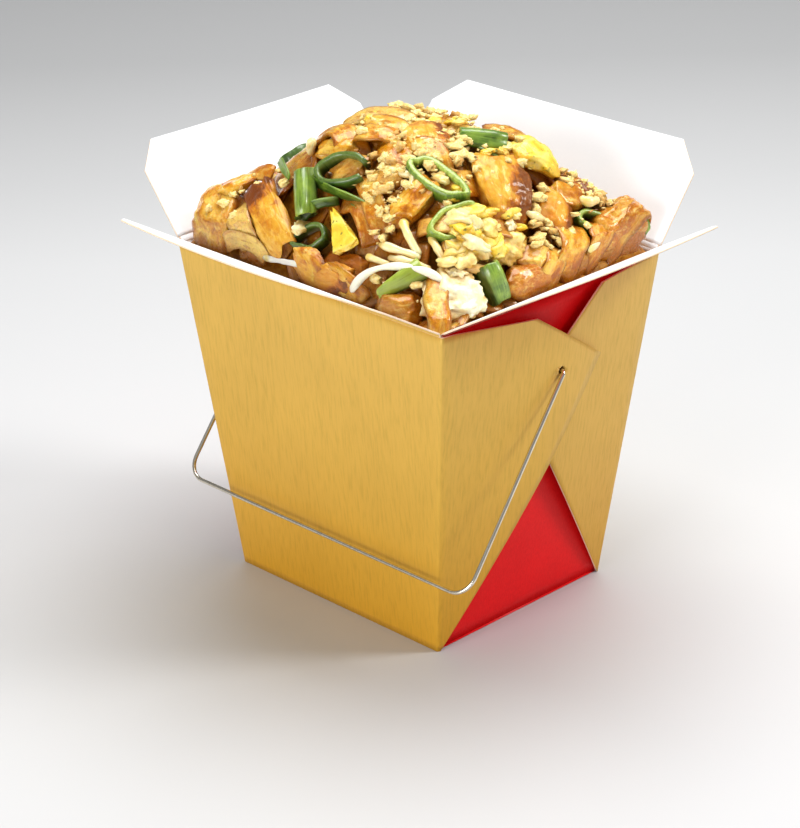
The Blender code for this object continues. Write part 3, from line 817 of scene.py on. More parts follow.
def leaf_ring(size, arc=360.0, slant=0.0, point=0.0, seed=0.0):
    """A slice of leaf about its own Z, with round edges: points, faces, grain, and 1 on its outer skin."""
    long_radius, short_radius, length, wall = size
    steps = max(12, round(56 * arc / 360))
    whole = arc >= 359
    count = steps if whole else steps + 1
    half, soft = length / 2, min(0.3, wall * 0.4)
    profile = [(0, -half + soft, 1), (0, -half * 0.4, 1), (0, half * 0.4, 1), (0, half - soft, 1),
               (-soft, half, 0.45), (-wall + soft, half, 0.35), (-wall, half - soft, 0), (-wall, 0, 0),
               (-wall, -half + soft, 0), (-wall + soft, -half, 0.35), (-soft, -half, 0.45)]
    points, grain, skin = [], [], []
    for i in range(count):
        angle = math.radians(arc) * (i / steps - 0.5)
        c, s = math.cos(angle), math.sin(angle)
        wobble = 1 + 0.24 * noise.noise(Vector((c * 1.2, s * 1.2, seed * 3.3)))
        turn = Vector((c / long_radius, s / short_radius, 0)).normalized()
        rise = 0.35 * noise.noise(Vector((c * 1.7, s * 1.7, seed * 5.9 + 4)))
        for inward, z, outer in profile:
            bulge = 0.25 * (1 - (z / half) ** 2) if outer == 1 else 0
            narrow = 1 - point * (z / length + 0.5) ** 1.3
            x = c * long_radius * wobble + turn.x * (inward + bulge)
            y = s * short_radius * wobble * narrow + turn.y * (inward + bulge)
            points.append((x, y, z + slant * x + rise))
            grain.append((z, angle * (long_radius + short_radius) / 2, inward + seed * 10))
            skin.append(outer)
    faces = ring_faces(count, len(profile), closed=whole, inward=True)
    return np.array(points), faces, np.array(grain), np.array(skin)


def tube(path, radii, sides, seed):
    """A round strand along a path whose radius changes."""
    tangents, along = directions(path), distances(path)
    points, grain = [], []
    for i, centre in enumerate(path):
        side = np.cross(tangents[i], (0.13, 0.21, 0.97))
        side /= np.linalg.norm(side)
        up = np.cross(tangents[i], side)
        for k in range(sides):
            angle = 2 * math.pi * k / sides
            points.append(centre + (side * math.cos(angle) + up * math.sin(angle)) * radii[i])
            grain.append((along[i], angle, seed * 10))
    return np.array(points), ring_faces(len(path), sides), np.array(grain)


# ---------------------------------------------------------------- food: materials

WARM_GLOSS = (1.0, 0.72, 0.38, 1.0)      # light that sauce has coloured


def food_shader(name, under, coat=(0.0, 0.03), **settings):
    """A wet material: how much light goes under its skin, how far by colour and in millimetres, and its
    coat's weight and roughness."""
    weight, reach, depth = under
    return Shader(name, Subsurface_Weight=weight, Subsurface_Radius=reach, Subsurface_Scale=depth * MM,
                  Coat_Weight=coat[0], Coat_Roughness=coat[1], **settings)


def painted_gap_shade(shader, dark, most=0.85):
    """Painted shade: the darker tint of food that lies deep between its neighbours."""
    return shader.attribute("deep"), (0.08, 0.0), (0.85, most), dark


def noodle_glaze():
    """Wide rice noodles, half clear, stained by the sauce."""
    shader = food_shader("noodle_glaze", (0.22, (1.0, 0.4, 0.08), 1.6), (0.45, 0.05), Specular_IOR_Level=0.5,
                         Specular_Tint=WARM_GLOSS)
    place, tone = shader.place(attribute="grain"), shader.attribute("tone")
    cloud = shader.noise(place, 0.16, detail=3.0, roughness=0.6, distortion=0.6)
    fine = shader.noise(place, 0.7, detail=4.0, roughness=0.65)
    streak = shader.noise(shader.place((0.35, 1.0, 1.0), "grain"), 0.6, detail=3.5, roughness=0.6,
                          distortion=0.8)
    colour = shader.ramp(cloud, (0.34, (0.30, 0.070, 0.002)), (0.44, (0.56, 0.20, 0.005)),
                         (0.52, (0.64, 0.30, 0.015)), (0.62, (0.75, 0.48, 0.075)))
    colour = shader.tints(
        colour,
        (tone, (0.6, 0.0), (1.0, 0.75), (0.81, 0.56, 0.15)),
        (tone, (0.0, 0.8), (0.34, 0.0), (0.42, 0.115, 0.004)),
        (streak, (0.52, 0.0), (0.64, 0.5), (0.82, 0.57, 0.15)),
        (streak, (0.34, 0.65), (0.45, 0.0), (0.34, 0.085, 0.003)),
        (fine, (0.55, 0.0), (0.70, 0.5), (0.30, 0.075, 0.004)),
        (shader.attribute("skin"), (0.35, 0.0), (0.95, 0.75), (0.24, 0.065, 0.003)),
        (shader.noise(place, 2.2, detail=2.0), (0.69, 0.0), (0.74, 0.85), (0.10, 0.02, 0.002)),
        # Painted shade where the strand lies deep in a gap.
        painted_gap_shade(shader, (0.30, 0.080, 0.002)))
    ripples = shader.noise(place, 0.4, detail=4.0, roughness=0.55)
    return shader.finish(colour, (fine, 0.2, 0.36), (ripples, 0.7, 0.8))


def core_sauce_and_shade():
    """What shows between the strands: sauce, with painted shade for the strands deep in shade."""
    shader = Shader("core_sauce_and_shade", Specular_IOR_Level=0.4, Specular_Tint=WARM_GLOSS)
    blobs = shader.noise(shader.place(), 0.25, detail=4.0, roughness=0.6)
    # Dark colours: partly the sauce, partly painted shade for the food deep under the strands.
    colour = shader.ramp(blobs, (0.35, (0.20, 0.050, 0.002)), (0.65, (0.50, 0.20, 0.010)))
    return shader.finish(colour, (blobs, 0.3, 0.5), (blobs, 0.8, 1.2))


def fried_chicken():
    """Pale meat with a fibre, browned where it touched the pan. A high tone is a piece steeped in sauce."""
    shader = food_shader("fried_chicken", (0.15, (1.0, 0.45, 0.1), 1.2), (0.28, 0.08), Specular_IOR_Level=0.5,
                         Specular_Tint=WARM_GLOSS)
    fibre = shader.noise(shader.place((0.4, 1.0, 1.0), "grain"), 0.6, detail=5.0, roughness=0.62,
                         distortion=0.9)
    cloud = shader.noise(shader.place(attribute="grain"), 0.2, detail=4.0, roughness=0.6)
    brown = shader.math("ADD", shader.attribute("skin"), shader.uneven(cloud, 2.2))
    brown = shader.math("ADD", brown, shader.uneven(fibre, 1.0))
    colour = shader.ramp(fibre, (0.25, (0.58, 0.21, 0.008)), (0.5, (0.72, 0.37, 0.03)),
                         (0.75, (0.84, 0.57, 0.13)))
    colour = shader.tints(
        colour,
        (cloud, (0.48, 0.0), (0.64, 0.75), (0.56, 0.175, 0.005)),
        (shader.attribute("tone"), (0.5, 0.0), (1.0, 0.8), (0.60, 0.185, 0.006)),
        (brown, (0.28, 0.0), (0.62, 0.9), (0.42, 0.105, 0.005)),
        (brown, (0.68, 0.0), (0.92, 0.88), (0.13, 0.024, 0.003)),
        # Painted shade where the piece lies deep in a gap.
        painted_gap_shade(shader, (0.32, 0.080, 0.002)))
    return shader.finish(colour, (fibre, 0.25, 0.45), (fibre, 0.6, 0.8))


def onion_leaf():
    """Spring onion: a dark ribbed skin outside, pale and wet inside. A high tone is yellower."""
    shader = food_shader("onion_leaf", (0.2, (0.5, 0.9, 0.2), 1.0), (0.45, 0.15))
    ribs = shader.noise(shader.place((0.08, 1.0, 1.0), "grain"), 1.6, detail=3.0, roughness=0.6)
    cloud = shader.noise(shader.place(attribute="grain"), 0.2, detail=3.0, roughness=0.6)
    tone = shader.attribute("tone")
    outer = shader.ramp(ribs, (0.3, (0.022, 0.065, 0.005)), (0.52, (0.07, 0.165, 0.012)),
                        (0.75, (0.22, 0.38, 0.05)))
    outer = shader.tints(
        outer,
        (cloud, (0.42, 0.0), (0.66, 0.7), (0.27, 0.40, 0.04)),
        (cloud, (0.30, 0.7), (0.42, 0.0), (0.012, 0.035, 0.003)))
    colour = shader.tints(
        shader.ramp(ribs, (0.3, (0.17, 0.27, 0.025)), (0.7, (0.50, 0.60, 0.12))),
        (shader.attribute("skin"), (0.3, 0.0), (0.8, 1.0), outer),
        (tone, (0.0, 0.0), (1.0, 0.6), (0.52, 0.58, 0.05)),
        (tone, (0.0, 0.72), (0.12, 0.0), (0.022, 0.062, 0.006)),
        # Painted shade where the piece lies deep in a gap.
        painted_gap_shade(shader, (0.02, 0.035, 0.002), 0.8))
    return shader.finish(colour, (ribs, 0.25, 0.42), (ribs, 0.3, 0.25))


def cooked_egg():
    """Scrambled egg from yellow folds (tone 0) to pale curd (tone 1), with chopped herb in the yellowest."""
    shader = food_shader("cooked_egg", (0.35, (1.0, 0.75, 0.35), 1.5), (0.35, 0.2))
    place, tone = shader.place(attribute="grain"), shader.attribute("tone")
    cloud = shader.noise(place, 0.22, detail=3.0, roughness=0.55, distortion=0.5)
    fine = shader.noise(place, 1.1, detail=4.0, roughness=0.6)
    yellow = shader.ramp(cloud, (0.3, (0.78, 0.40, 0.010)), (0.5, (0.89, 0.60, 0.035)),
                         (0.72, (0.94, 0.78, 0.20)))
    white = shader.ramp(cloud, (0.3, (0.92, 0.76, 0.34)), (0.55, (0.93, 0.85, 0.56)),
                        (0.75, (0.95, 0.92, 0.76)))
    colour = shader.tints(
        yellow,
        (tone, (0.2, 0.0), (0.8, 1.0), white),
        (fine, (0.60, 0.0), (0.74, 0.35), (0.74, 0.38, 0.03)))
    flecks = shader.ramp(shader.noise(place, 0.7, detail=1.0), (0.66, 0.0), (0.69, 0.8))
    herb = shader.math("MULTIPLY", flecks, shader.ramp(tone, (0.08, 1.0), (0.14, 0.0)))
    colour = shader.mix(herb, colour, (0.13, 0.17, 0.01))
    # Painted shade where the egg lies deep in a gap.
    colour = shader.tints(colour, painted_gap_shade(shader, (0.70, 0.36, 0.02), 0.7))
    return shader.finish(colour, (fine, 0.3, 0.5), (fine, 0.6, 0.5))


def bean_sprout():
    """Nearly clear stalks. A high tone is white."""
    shader = food_shader("bean_sprout", (0.5, (1.0, 0.8, 0.5), 1.5), (0.6, 0.12))
    streak = shader.noise(shader.place((0.12, 1.0, 1.0), "grain"), 1.1, detail=3.0)
    colour = shader.ramp(streak, (0.3, (0.78, 0.58, 0.20)), (0.55, (0.87, 0.74, 0.38)),
                         (0.8, (0.92, 0.86, 0.64)))
    colour = shader.tints(
        colour,
        (shader.attribute("tone"), (0.5, 0.0), (1.0, 0.75), (0.94, 0.92, 0.80)),
        (shader.attribute("skin"), (0.2, 0.0), (0.9, 0.9), (0.84, 0.60, 0.14)),
        # Painted shade where the sprout lies deep in a gap.
        painted_gap_shade(shader, (0.50, 0.25, 0.02)))
    return shader.finish(colour, (streak, 0.25, 0.4), (streak, 0.2, 0.2))


def chopped_peanut():
    """Roast peanut: pale cream where it is cut, tan outside."""
    shader = food_shader("chopped_peanut", (0.15, (1.0, 0.7, 0.3), 0.8), Specular_IOR_Level=0.2)
    place = shader.place(attribute="grain")
    cloud = shader.noise(place, 0.8, detail=3.0)
    colour = shader.ramp(cloud, (0.3, (0.74, 0.46, 0.11)), (0.5, (0.87, 0.66, 0.24)),
                         (0.7, (0.94, 0.82, 0.44)))
    colour = shader.tints(
        colour,
        (shader.attribute("tone"), (0.7, 0.0), (1.0, 0.8), (0.50, 0.21, 0.03)),
        # Painted shade where the crumb lies deep in a gap.
        painted_gap_shade(shader, (0.32, 0.12, 0.01)))
    return shader.finish(colour, (cloud, 0.55, 0.75), (shader.noise(place, 2.5, detail=3.0), 0.4, 0.3))


# ---------------------------------------------------------------- food: pieces

CORE_CELLS_X, CORE_CELLS_Y = 56, 48
STRAND_STEP, STRAND_TRIES, PEANUT_TRIES = 1.2, 900, 860

# Name: size, shape, place (x, y, lift), turn, where it is browned ((x, y, z) direction, amount), tone
CHICKEN = {
    "chicken_left": ((25, 9.5, 4.4), {"bend": 0.12, "roundness": 0.22}, (-20.6, -34.4, 1.6), (147, 0, 0),
                     ((1, 0.15, 0.2), 0.95), 0.5),
    "chicken_top": ((17, 12, 6), {"bend": 0.1}, (7.5, -3.5, 1), (-40, 0, 0), ((-0.3, 1, 0.1), 0.8), 0.4),
    "chicken_middle": ((21, 14, 7), {"bend": 0.15}, (29, 2.5, 0.5), (-20, 0, 0),
                       ((0.5, 0.9, 0.3), 1.0), 0.5),
    "chicken_right": ((15, 10, 6), {"bend": 0.1}, (37.5, 13.5, 0), (-45, 0, 0), ((-0.3, 1, 0), 0.9), 0.7),
    "chicken_back": ((15, 9, 5), {"bend": 0.15}, (31, 30.5, 0), (0, 0, 0), ((0.9, 0, 0.5), 1.0), 0.6),
    "chicken_front": ((13, 9, 5), {"bend": 0.05, "roundness": 0.5}, (8.5, -36.9, -1.1), (10, 0, 0),
                      ((-0.5, 0.5, 0.5), 0.7), 0.8),
}

# Chicken besides: size, place, turn, browned side and amount, tone
MORE_CHICKEN = [
    ((13, 8, 6), (8.5, -40.6, 1.2), (14, 0, 20), ((0.8, -0.6, 0), 0.9), 0.8),
    ((11, 8, 6), (-0.5, -39.6, 1.8), (-28, 0, -15), ((0.3, 0.5, 0.3), 0.7), 0.4),
    ((13, 9, 6), (-34, 16, 0.5), (60, 0, 0), ((0.5, 0.5, 0.5), 0.8), 0.5),
    ((15, 10, 6), (-12, 30, 0.5), (-20, 0, 0), ((0.5, -0.5, 0.5), 0.8), 0.5),
    ((14, 9, 6), (-40, -12, -1.8), (95, 0, 0), ((-0.5, 0.5, 0.5), 0.8), 0.5),
    ((14, 10, 6), (6, 38, -0.4), (5, 0, 0), ((0.5, 0.5, 0.5), 0.8), 0.6),
]

# Name: size (long radius, short radius, length, wall), shape, place, turn, tone (higher is yellower)
ONION = {
    "onion_tube": ((3.6, 2.8, 14, 0.9), {"slant": 0.3}, (-12, -28.2, 2.7), (125, 90, 0), 0.25),
    "onion_loop_left": ((8.5, 5, 4.5, 1.4), {"arc": 290}, (-4, -22, 2.5), (200, 0, 0), 0.0),
    "onion_loop_low": ((5.5, 3.6, 4, 1.2), {}, (-4.5, -34.6, 1.5), (30, 0, 0), 0.0),
    "onion_loop_middle": ((9.5, 4.5, 4.5, 1.6), {}, (20, -13, 2), (5, 0, 0), 0.15),
    "onion_loop_right": ((7.2, 4.4, 4.5, 1.3), {}, (29.5, -17, 2), (85, 0, 0), 0.3),
    "onion_slab": ((3.6, 3, 13, 1), {"arc": 170}, (17.5, 7, 2), (46, -90, 0), 0.1),
    "onion_leaf": ((4.5, 3.5, 14, 1), {"arc": 150, "point": 0.75}, (28.6, -34.0, 1.0), (66, -90, 0), 0.8),
    "onion_end": ((4.3, 3.3, 11, 1), {}, (43.7, -16.5, 0.9), (0, 115, 0), 0.12),
    "onion_ring": ((5.4, 3.6, 3.5, 1.2), {}, (43, 24, 1), (46, 0, 0), 0.2),
    "onion_tip": ((2, 1.6, 6, 0.6), {}, (46.8, 39.4, 2), (46, 90, 0), 0.3),
}

# Name: size, shape, place, turn, tone (0 is yellow, 1 is white)
EGG = {
    "egg_fold": ((13, 9, 6), {"rough": 0.2, "grainy": 0.22}, (38.2, -7.0, 0.6), (72, 0, 0), 0.4),
    "egg_pale": ((15, 12.5, 5.5), {"rough": 0.2, "grainy": 0.2}, (40.8, -28.2, 0.9), (46, 0, 0), 0.95),
    "omelette_wedge": ((13, 8, 2.5), {"taper": 0.85, "roundness": 0.3}, (4.4, -31.2, 3), (141, 0, 0), 0.0),
    "omelette_curl": ((14, 12, 5), {"bend": 0.2, "rough": 0.12}, (25, 19.5, 1.2), (60, 0, 0), 0.1),
}

# Wide strands that show whole: places (x, y, lift), width, thickness, roll, tone
STRANDS = [
    ([(-47.5, -22, -3), (-49, -28, -1), (-49, -35, -0.5), (-46, -41, -2)], 8, 2.2, 30, 0.5),
    ([(-33.5, -34.5, 0.5), (-30, -37, 3), (-26.5, -39, 3.2), (-22.5, -41.2, 1)], 8.5, 2.4, 6, 1.0),
    ([(-33, -42.2, 0.5), (-29.5, -42, 3.4), (-25.5, -41.6, 4.6), (-21, -41.6, 4.4), (-16, -42.2, 1.5)],
     5.5, 2.0, 35, 0.9),
    ([(-43, -28, 1), (-39.5, -25.5, 2.6), (-36, -24, 2.4), (-31, -24.5, 0.5)], 5.5, 1.8, 20, 0.1),
    ([(0, -28, 1), (5, -26.5, 2), (10, -28, 2), (14, -31, 0)], 6, 1.9, -20, 0.1),
    ([(50, 24, -3), (49.8, 28, 2), (48, 33, 5), (45.5, 38.5, 5), (41.5, 41.5, 0)], 9, 2.2, -12, 0.14),
    ([(50, 6, -3), (49.2, 8, 1.5), (47, 10.5, 3.2), (44, 13.5, 3), (40.5, 16, 0)], 10, 2.3, 4, 0.4),
    ([(50, 15, -3), (49.6, 18.5, 2), (47.4, 22.5, 3.4), (43.5, 26, 1)], 9, 2.2, -10, 0.18),
    ([(50, -1, -3), (49.3, 1.5, 1.5), (47, 4.5, 2.6), (43.5, 7, 1)], 8, 2.2, 6, 0.4),
    ([(34, -27.6, 0), (37, -30, 2.6), (41, -33.8, 2.8), (45.2, -37.8, 0.8), (47, -40, -3)],
     6.6, 3.2, 0, 0.42),
    ([(30, -12, 0), (33, -10, 2.4), (36, -5, 2.4), (37.5, 1, 0.5)], 7, 1.9, -15, 0.75),
    ([(4, -41.5, -1), (8, -40.5, 2), (14, -40, 2.4), (20, -41.4, -1)], 8, 2.1, 20, 0.4),
    ([(-14, -10, -1), (-9, -7, 2), (-3, -6, 2.5), (3, -8.5, 0)], 9, 2.0, 12, 0.6),
    ([(-22, -18, 0), (-17, -14, 2), (-11, -14.5, 2), (-5, -18, -1)], 9, 2.0, -12, 0.4),
    ([(12, 14, 0), (17, 19, 2.5), (22, 26, 2), (25, 32, -1)], 10, 2.0, 10, 0.65),
    ([(22, -16, -1), (24.5, -10, 2), (26, -4, 1)], 8, 2.0, 10, 0.3),
    ([(-1, -14, 0), (3, -13, 2.2), (8, -14.5, 2.4), (12, -17, 1)], 8, 2.0, 0, 0.6),
    ([(-20, -8, 0), (-15, -3, 2.4), (-9, 0, 3), (-3, 1, 1)], 8, 2.2, 15, 0.9),
    ([(2, -20, 0), (7, -23, 2), (12, -25.5, 2), (17, -29, 0)], 7, 2.0, -8, 0.2),
    ([(4, -12, 0), (9, -9, 3), (15, -8, 3), (20, -9.5, 0.5)], 7.5, 2.2, 12, 0.45),
    ([(-12, -12, 0), (-6, -12, 3.2), (-1, -9.5, 3.2), (3, -6, 0.5)], 7, 2.0, 10, 0.4),
    ([(24, -24, 0), (28, -20.5, 2.8), (30.5, -16, 2.6), (31, -11, 0.5)], 5.5, 1.9, -12, 0.85),
]

# Cut lengths of onion leaf: places (x, y, lift), width, roll, how dark
LEAVES = [
    ([(-13, -25.8, 1.5), (-6.9, -26, 3), (-1.9, -26, 3.4), (3.1, -25.7, 3), (8.5, -25.3, 1.5)], 3.6, 55, 1.0),
    ([(-11.5, -33, 1.5), (-7.7, -29.9, 3), (-5.2, -28.5, 3), (-1.5, -27, 1.5)], 3.4, 40, 1.0),
    ([(-26, -23.8, 3.6), (-23, -25.2, 3.6), (-19.5, -26.8, 3)], 2.6, 20, 1.0),
    ([(18, 4.2, 2.4), (21.7, 5.6, 2.8), (25, 7.6, 2)], 1.2, 0, 0.8),
    ([(3, -27, 1.6), (7, -27.4, 2.2), (10.5, -27.8, 1)], 2.4, 30, 0.5),
    ([(-34, 24, 1), (-30, 28, 2.2), (-24, 30, 2.2), (-18, 29.5, 1)], 3.4, 40, 0.8),
    ([(-34, -5, 1), (-33, 1, 2.4), (-35, 7, 1.5)], 3.0, 50, 0.7),
    ([(6, 28, 1), (11, 31, 2.4), (17, 30, 2)], 3.2, 30, 0.9),
    ([(-44, 8, 1), (-43, 13, 2.4), (-40, 17, 2)], 3.2, 30, 0.6),
]

# Slices of onion on the far side: size (long radius, short radius, length, wall), place, turn
RINGS = [
    ((5.0, 3.6, 4.0, 0.8), (-38, -8, 1.8), (70, 0, 0)),
    ((6.0, 3.8, 4.5, 0.9), (-6, 34, 1.8), (-20, 0, 0)),
    ((4.4, 3.4, 9.0, 0.9), (-36, 31, 1.2), (35, 90, 0)),
    ((4.0, 3.0, 10.0, 0.9), (14, 38, 0.4), (80, 90, 0)),
]

# Bean sprouts: places (x, y, lift), radius
SPROUTS = [
    ([(16.6, -41.8, 2.6), (18.3, -37.5, 3.6), (20.9, -34.9, 4.4), (25, -32.7, 4.8), (29.8, -30.8, 5),
      (34.5, -29, 4), (38, -28.4, 2.6)], 1.15),
    ([(-17.5, -42.4, 2.6), (-10, -42.0, 3.4), (-2.3, -40.7, 3.2)], 0.95),
    ([(3.5, -2.7, 1), (3, -2.2, 2.4), (2.2, -1.6, 3.6)], 1.3),
    ([(-20, -20.5, 0), (-18.5, -19.5, 3.4), (-16.5, -19.5, 5.4)], 1.5),
    ([(19.6, -24.4, 1.6), (23.7, -26.1, 3.0), (28.6, -27.6, 1.2)], 1.15),
    ([(16.6, -30.2, 1.4), (22.7, -29.4, 2.8), (29, -27.7, 1.6)], 1.15),
    ([(21, -31.3, 1.2), (27, -30, 2.6), (33, -27.9, 1.4)], 1.1),
    ([(27.6, -23, 1.6), (31.1, -23.9, 2.6), (35.6, -24.7, 1.4)], 1.2),
    ([(14.6, -33, 1.2), (20.3, -32.6, 2.4), (25, -32.1, 1)], 1.0),
    ([(34, 3, 2), (36.5, 5, 3.2), (38.5, 9, 2.2)], 1.2),
    ([(37, 23, 2.4), (39, 25.5, 3.6), (38.5, 29, 3)], 1.4),
    ([(48.0, 16, 2.5), (48.4, 19, 3.6), (48.0, 22.5, 2.8)], 0.95),
    ([(-30, 8, 0), (-24, 12, 1.6), (-17, 13, 1.2)], 1.1),
    ([(-8, 30, 1), (0, 33, 1.8), (9, 32, 1)], 1.1),
    ([(-38, 20, 1), (-34, 26, 1.8), (-35, 33, 1)], 1.1),
    ([(13, -14, 1.6), (16, -17, 2.8), (17.5, -21, 1.6)], 1.3),
    ([(9, -17, 1.4), (13.5, -16.6, 2.6), (18, -14.5, 1.4)], 1.1),
]

# Folded noodle and other soft masses: size, place, turn, roundness, tone
FOLDS = [
    ((22, 15, 13), (-42.0, -36.5, -3.4), (112, 0, 0), 0.85, 0.66),
    ((11, 8, 4), (-39.0, -29.0, 2.8), (60, 10, 0), 0.8, 0.35),
    ((8, 5, 12), (-27.0, -38.4, -1.0), (45, 0, 0), 0.8, 0.95),
    ((12, 9, 8), (31.0, -38.6, -1.4), (30, 0, 0), 0.9, 0.05),
    ((17, 9, 7), (47.0, -4.0, -1.0), (84, 0, 0), 0.85, 0.0),
    ((18, 13, 12), (46.0, 32.5, -1.2), (100, 0, 0), 0.85, 0.1),
    ((17, 9, 10), (48.0, 27.0, -4.2), (92, 0, 0), 0.8, 0.35),
    ((17, 9, 10), (48.0, 12.0, -4.6), (88, 0, 0), 0.8, 0.6),
    ((12, 8, 9), (-22.0, -41.0, -3.6), (5, 0, 0), 0.8, 0.3),
    ((16, 8, 9), (-46.5, -33.0, -4.5), (92, 0, 0), 0.8, 0.55),
    ((12, 8, 9), (44.0, 39.5, -4.0), (10, 0, 0), 0.8, 0.3),
    ((12, 7, 5), (8.0, -20.5, 0.8), (60, 0, 0), 0.8, 0.8),
    ((11, 7, 4), (-4.0, -21.0, 0.6), (50, 0, 0), 0.8, 0.72),
    ((16, 8, 5), (19.2, -19.5, 0.8), (93, 0, 0), 0.75, 0.5),
    ((12, 8, 5), (35.5, 22.0, 0.8), (80, 0, 0), 0.85, 0.2),
    ((10, 7, 4), (13.0, -7.0, 1.0), (-30, 0, 0), 0.8, 0.4),
    ((11, 7, 4), (-12.0, -18.0, 0.5), (20, 0, 0), 0.8, 0.55),
    ((17, 11, 7), (36.0, -15.5, -0.6), (72, 0, 0), 0.85, 1.0),
    ((13, 9, 7), (44.0, 1.5, -0.8), (84, 0, 0), 0.85, 0.8),
]

# Where shreds of egg lie: x, y, spread, how many, largest, tone (0 is yellow, 1 is white)
EGG_FALLS = [
    (33.5, -17.5, 2.0, 5, 11, 0.3), (37.5, -13, 2.0, 5, 11, 0.15), (35, -20, 2.6, 5, 9, 0.4),
    (35.5, -10, 3.0, 5, 9, 0.2), (38.5, -1, 1.8, 4, 6, 0.1), (-11, 0, 4, 14, 5, 0.15),
    (0, 4, 4, 8, 5, 0.2), (8, -2, 3, 5, 4.5, 0.35),
    (40, -24, 2.4, 6, 5, 0.9), (22, 8, 3, 6, 5, 0.3), (29.5, -14, 2, 4, 5, 0.1), (-30, 22, 5, 8, 7, 0.3),
    (-38, 6, 3, 5, 6, 0.5), (20, 34, 4, 6, 6, 0.4), (-8, -38.5, 2, 3, 5, 0.2),
]

# Where chopped peanut is thickest: x, y, spread, share
PEANUT_FALLS = [
    (-10, 2, 4, 0.07), (-2, -3, 4.5, 0.09), (10, -6, 4, 0.06), (12, -12, 4, 0.04), (8, -21, 4, 0.07),
    (16, -3, 4, 0.07), (16, -25.5, 3, 0.04),
    (33, 4.5, 3.5, 0.05), (43.3, 7, 4, 0.06), (39, 27, 4, 0.06), (-37, -35, 3, 0.02), (-22, -33, 6, 0.02),
    (44, 36, 3, 0.02), (-12, 10, 12, 0.06), (4, 22, 14, 0.05),
]


def make_core(material):
    """The food under the strands, down to the base."""
    rows = []
    for j in range(CORE_CELLS_Y + 1):
        row = []
        for i in range(CORE_CELLS_X + 1):
            x = math.sin((2 * i / CORE_CELLS_X - 1) * math.pi / 2) * (FOOD_EDGE_X - 0.3)
            y = math.sin((2 * j / CORE_CELLS_Y - 1) * math.pi / 2) * (FOOD_EDGE_Y - 0.3)
            lumps = 1.2 * noise.noise(Vector((x, y, 0)) / 4) + 1.6 * noise.noise(Vector((x, y, 5)) / 9)
            row.append(Vector((x, y, settled(x, y) - CORE_DEPTH + lumps)) * MM)
        rows.append(row)
    bm = grid_mesh(rows)
    rim = [edge for edge in bm.edges if edge.is_boundary]
    floor_z = 2 * BOARD
    for vert in bmesh.ops.extrude_edge_only(bm, edges=rim)["geom"]:
        if isinstance(vert, bmesh.types.BMVert):
            shrink_x = (half_x(floor_z) - 4 * BOARD) / (FOOD_EDGE_X * MM)
            shrink_y = (half_y(floor_z) - 3 * BOARD) / (FOOD_EDGE_Y * MM)
            vert.co = (vert.co.x * shrink_x, vert.co.y * shrink_y, floor_z)
    bmesh.ops.holes_fill(bm, edges=[edge for edge in bm.edges if edge.is_boundary], sides=0)
    bmesh.ops.recalc_face_normals(bm, faces=bm.faces[:])
    core = make_object("noodle_core", bm, [material])
    core.data.shade_smooth()
    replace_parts(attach(core, "root"), "noodles")


def inside_walls(points, soft=3.0):
    """The same points, eased in where they would pass through a wall."""
    for axis, edge in ((0, FOOD_EDGE_X), (1, FOOD_EDGE_Y)):
        size = np.abs(points[:, axis])
        past = np.maximum(size - (edge - soft), 0)
        size = np.minimum(size, edge - soft) + soft * np.tanh(past / soft)
        points[:, axis] = np.copysign(size, points[:, axis])
    return points


def loose_strand(heights, draw):
    """One strand that lies over whatever is there already, with its ends tucked in. None if it is buried."""
    width, thickness = draw.uniform(5.5, 10.5), draw.uniform(1.7, 2.7)
    x, y = draw.uniform(-48, 48), draw.uniform(-40.5, 40.5)
    heading, turning = draw.uniform(0, 2 * math.pi), draw.gauss(0, 1.0) / 22
    steps = draw.randint(18, 36)
    seed = draw.uniform(0, 9)
    flat = []
    for i in range(steps):
        flat.append((x, y))
        heading += turning + 0.12 * noise.noise(Vector((i / 6, seed, 0)))
        if abs(x + math.cos(heading) * STRAND_STEP) > FOOD_EDGE_X - 2.5:
            heading = math.pi - heading + turning
        if abs(y + math.sin(heading) * STRAND_STEP) > FOOD_EDGE_Y - 2.5:
            heading = turning - heading
        x, y = x + math.cos(heading) * STRAND_STEP, y + math.sin(heading) * STRAND_STEP
    flat = np.array(flat)
    ahead = directions(flat)
    side = np.stack([-ahead[:, 1], ahead[:, 0]], axis=1) * width * 0.38
    cells = [heights.cell(*(flat + side * k).T) for k in (-1, -0.5, 0, 0.5, 1)]
    level = np.max([heights.top[cell] for cell in cells], axis=0) + thickness * 0.55
    limit = np.min([heights.most[cell] for cell in cells], axis=0)
    kernel = np.array([1, 2, 3, 2, 1]) / 9
    for _ in range(3):
        level = np.maximum(level, blurred(level, kernel))
    level = blurred(level, kernel)
    level += [1.1 * noise.noise(Vector((i / 5.5, seed, 3))) for i in range(steps)]
    if np.mean(level > limit + 2.0) > 0.45:
        return None
    from_end = np.minimum(np.arange(steps), np.arange(steps)[::-1]) * STRAND_STEP
    level -= 2.4 * np.exp(-from_end / 2.5)
    for _ in range(2):
        limit = np.minimum(limit, blurred(limit, kernel))
    path = np.column_stack([flat, np.minimum(level, limit - thickness * 0.5)])
    ups = np.array([dome_normal(*point) for point in flat])
    first_roll, last_roll = (math.radians(draw.gauss(0, 16)) for _ in range(2))
    rolls = np.linspace(first_roll, last_roll, steps)
    return strip(path, ups, width, thickness, rolls, draw.uniform(-0.05, 0.2), seed, 12)


